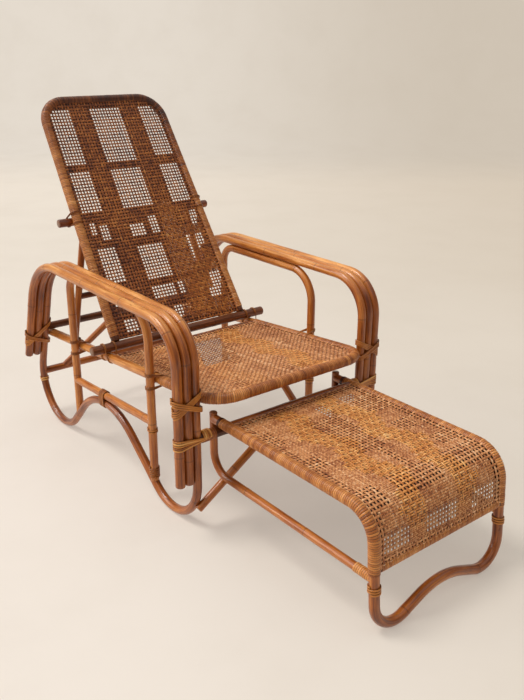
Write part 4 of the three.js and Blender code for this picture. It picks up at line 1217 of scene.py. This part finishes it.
def post_lashings(label, k):
    clear = CANE_WIDTH / 2 + GAP
    spread = (ARM_OUTER_X - LOOP_X) / 2
    x = k * (LOOP_X + spread)
    post = {"axis": UP, "u": ACROSS * k, "v": FORWARD, "half": spread, "radius": ARM_R}
    reach = SEAT_R / cos(SEAT_PITCH) + ARM_R * tan(SEAT_PITCH) + clear
    crossed(f"front_lashing_upper_{label}", at(x, POST_F, seat_z(POST_F)), post, reach, reach)
    bar_lashing(f"front_lashing_lower_{label}", k)

    f = rear_post_f(seat_z(rear_seat_f))
    low, high = (at(x, rear_post_f(seat_z(f) + d), seat_z(f) + d) for d in (-0.03, 0.03))
    axis = unit(high - low)
    lean = abs(axis[1] / axis[2])
    rear = dict(post, axis=axis, v=np.cross(ACROSS, axis))
    above = (rear_high_z - seat_z(f) + CROSS_R) / axis[2] + ARM_R * lean + clear
    below = SEAT_R / axis[2] + ARM_R * lean + clear
    crossed(f"rear_lashing_{label}", at(x, f, seat_z(f)), rear, above, below)


def frame_lashings(label, k):
    x = k * LOOP_X
    out = ACROSS * k
    apart = (ARCH_R + SEAT_R + GAP) / 2
    for where, f in (("rear", ARCH_REAR_F), ("front", ARCH_FRONT_F)):
        base = at(k * (LOOP_X - apart), f, seat_z(f))
        name = f"arch_lashing_{where}_{label}"
        saddle(name, "frame", base, out, SEAT_FORWARD, UP, ARCH_R, SEAT_R, apart, 3)

    def ring(name, *where):
        ring_lashing(f"{name}_{label}", "frame", *where)

    base = at(x, ARCH_FRONT_F, runner_z(ARCH_FRONT_F) + LOOP_R)
    ring("runner_lashing", base, UP, out, ARCH_R, 5, 0.004)

    rail_axis = unit(FORWARD + UP * low_rail_slope)
    rail_up = unit(UP - FORWARD * low_rail_slope)
    stack = (LOW_RAIL_R + LOOP_R + LASH_EASE) / 2
    base = at(x, hump_touch_f, low_rail_z(hump_touch_f)) - rail_up * stack
    ring("hump_lashing", base, rail_axis, rail_up, LOOP_R, 5, -2.5 * CANE_PITCH, stack, ACROSS)

    base = at(x, ARCH_FRONT_F, low_rail_z(ARCH_FRONT_F) - LOW_RAIL_R - 3 * CANE_PITCH)
    ring("side_rail_lashing", base, UP, out, ARCH_R, 2)

    top = REAR_LOW_Z - CROSS_R - CANE_PITCH
    low, high = (at(x, rear_post_f(z), z) for z in (top - 2 * CANE_PITCH, top))
    ring("rear_cross_lashing", low, unit(high - low), out, LOOP_R, 2)


def back_lashings(label, k):
    apart = (HINGE_R + SEAT_R + GAP) / 2
    base = at(k * SEAT_X, HINGE_F, hinge_z) - SEAT_UP * apart
    saddle(
        f"hinge_lashing_{label}", "frame", base, SEAT_UP, SEAT_FORWARD, ACROSS * k,
        HINGE_R, SEAT_R, apart, 2, slack=0.0005,
    )
    base = on_back(k * hoop_x(MID_L), MID_L, mid_offset / 2)
    saddle(
        f"back_lashing_{label}", "back", base, BACK_OUT, ACROSS, BACK_UP,
        HOOP_R, MID_R, -mid_offset / 2, 2, slack=LASH_EASE,
    )


def footrest_lashings(label, k):
    turns = 3
    z = REST_LOW_Z - REST_LOW_R - (turns + 0.7) * CANE_PITCH
    base = at(k * REST_X, rest_leg_f(z), z)
    axis = np.array([0.0, sin(REST_RAKE), cos(REST_RAKE)])
    name = f"footrest_lashing_{label}"
    ring_lashing(name, "footrest", base, axis, ACROSS * k, REST_R, turns)


# Stage


def make_camera():
    data = bpy.data.cameras.new("camera")
    data.sensor_width = SENSOR
    data.lens = SENSOR * FOCAL_SHARE
    place = Matrix.Translation(CAMERA_PLACE)
    for turn, axis in ((-CAMERA_YAW, "Z"), (pi / 2 + CAMERA_PITCH, "X"), (CAMERA_ROLL, "Z")):
        place = place @ Matrix.Rotation(turn, 4, axis)
    camera = link("camera", data)
    camera.matrix_world = place
    bpy.context.scene.camera = camera


def sun(name, towards, angle, strength, colour):
    """A wide, even light from one direction, given as the way towards it."""
    data = bpy.data.lights.new(name, "SUN")
    data.energy = strength
    data.angle = radians(angle)
    data.color = colour
    link(name, data).rotation_euler = (-Vector(towards)).to_track_quat("-Z", "Y").to_euler()


def floor_material():
    s = Shader(bpy.data.materials.new("floor"))
    place = s.node("TexCoord").outputs["Object"]
    x, y, _ = s.node("SeparateXYZ", {0: place}).outputs
    # Painted shade: the floor and the backdrop are painted darker towards the right, and the
    # backdrop darker than the near floor, where less light falls.
    near = s.mix(s.smooth(x, -0.6, 1.0), srgb("EDE3D8"), srgb("DDD3C6"))
    wall = s.mix(s.smooth(x, -1.8, 2.6), srgb("E5DBCE"), srgb("D0C4B4"))
    colour = s.mix(s.smooth(y, -0.2, 2.6), near, wall)
    cloud = s.smooth(s.noise(place, 2.2, detail=5, roughness=0.6), 0.35, 0.75)
    colour = s.mix(s.times(cloud, 0.10), colour, srgb("BFB19E"))
    # Painted light: the whole floor glows a little, lifting the shadows under the chair; far off,
    # where it turns into the backdrop, it glows fully in its own colour.
    glow = s.math("MAXIMUM", s.smooth(y, 3.0, 7.5), FLOOR_GLOW)
    s.fill(s.surface, {
        "Base Color": s.mix(glow, colour, (0, 0, 0, 1)), "Emission Color": colour,
        "Emission Strength": glow, "Roughness": 0.9, "Specular IOR Level": 0.0,
    })
    return s.data


def make_floor():
    """A pale floor that curves up into a backdrop far behind."""
    half, near, far, bend, top = 9.0, -6.0, 7.0, 1.5, 3.5
    turns = np.linspace(0, pi / 2, 17)[1:]
    curve = [(far + bend * sin(turn), bend * (1 - cos(turn))) for turn in turns]
    profile = [(near, 0.0), (far, 0.0), *curve, (far + bend, top)]
    vertices = [(x, y, z) for y, z in profile for x in (-half, half)]
    faces = [(2 * i, 2 * i + 1, 2 * i + 3, 2 * i + 2) for i in range(len(profile) - 1)]
    floor = build("floor", vertices, faces, {})
    floor.data.materials.append(floor_material())
    floor.rotation_euler = (0, 0, -CAMERA_YAW)


def make_world():
    """Soft light from all round, seen by the camera as a plain pale colour."""
    bpy.context.scene.world = bpy.data.worlds.new("studio")
    s = Shader(bpy.context.scene.world, "Background")
    s.fill(s.surface, {"Color": (1.0, 0.97, 0.94, 1.0), "Strength": WORLD_LIGHT})
    seen = s.node("Background", {"Color": srgb("D6CABA")})
    rays = s.node("LightPath").outputs["Is Camera Ray"]
    both = s.node("MixShader", {0: rays, 1: s.surface.outputs[0], 2: seen.outputs[0]})
    s.fill(s.tree.nodes["World Output"], {"Surface": both.outputs[0]})


def make_lights():
    left = (-cos(CAMERA_YAW), sin(CAMERA_YAW))
    sun("key", (left[0] * 0.5, left[1] * 0.5, 1.0), 20, 1.5, (1.0, 0.98, 0.95))
    sun("side", (left[0], left[1], 0.45), 30, 1.0, (1.0, 0.97, 0.93))
    sun("overhead", (0.0, 0.0, 1.0), 110, 1.05, (1.0, 0.99, 0.97))


bpy.context.scene.view_settings.view_transform = "Standard"
make_camera()
make_world()
make_lights()
make_floor()
for label, k in SIDES.items():
    side_frame(label, k)
seat()
crossbars()
back()
prop()
footrest()
back_panel()
seat_panel()
footrest_panel()
for label, k in SIDES.items():
    post_lashings(label, k)
    frame_lashings(label, k)
    back_lashings(label, k)
    footrest_lashings(label, k)
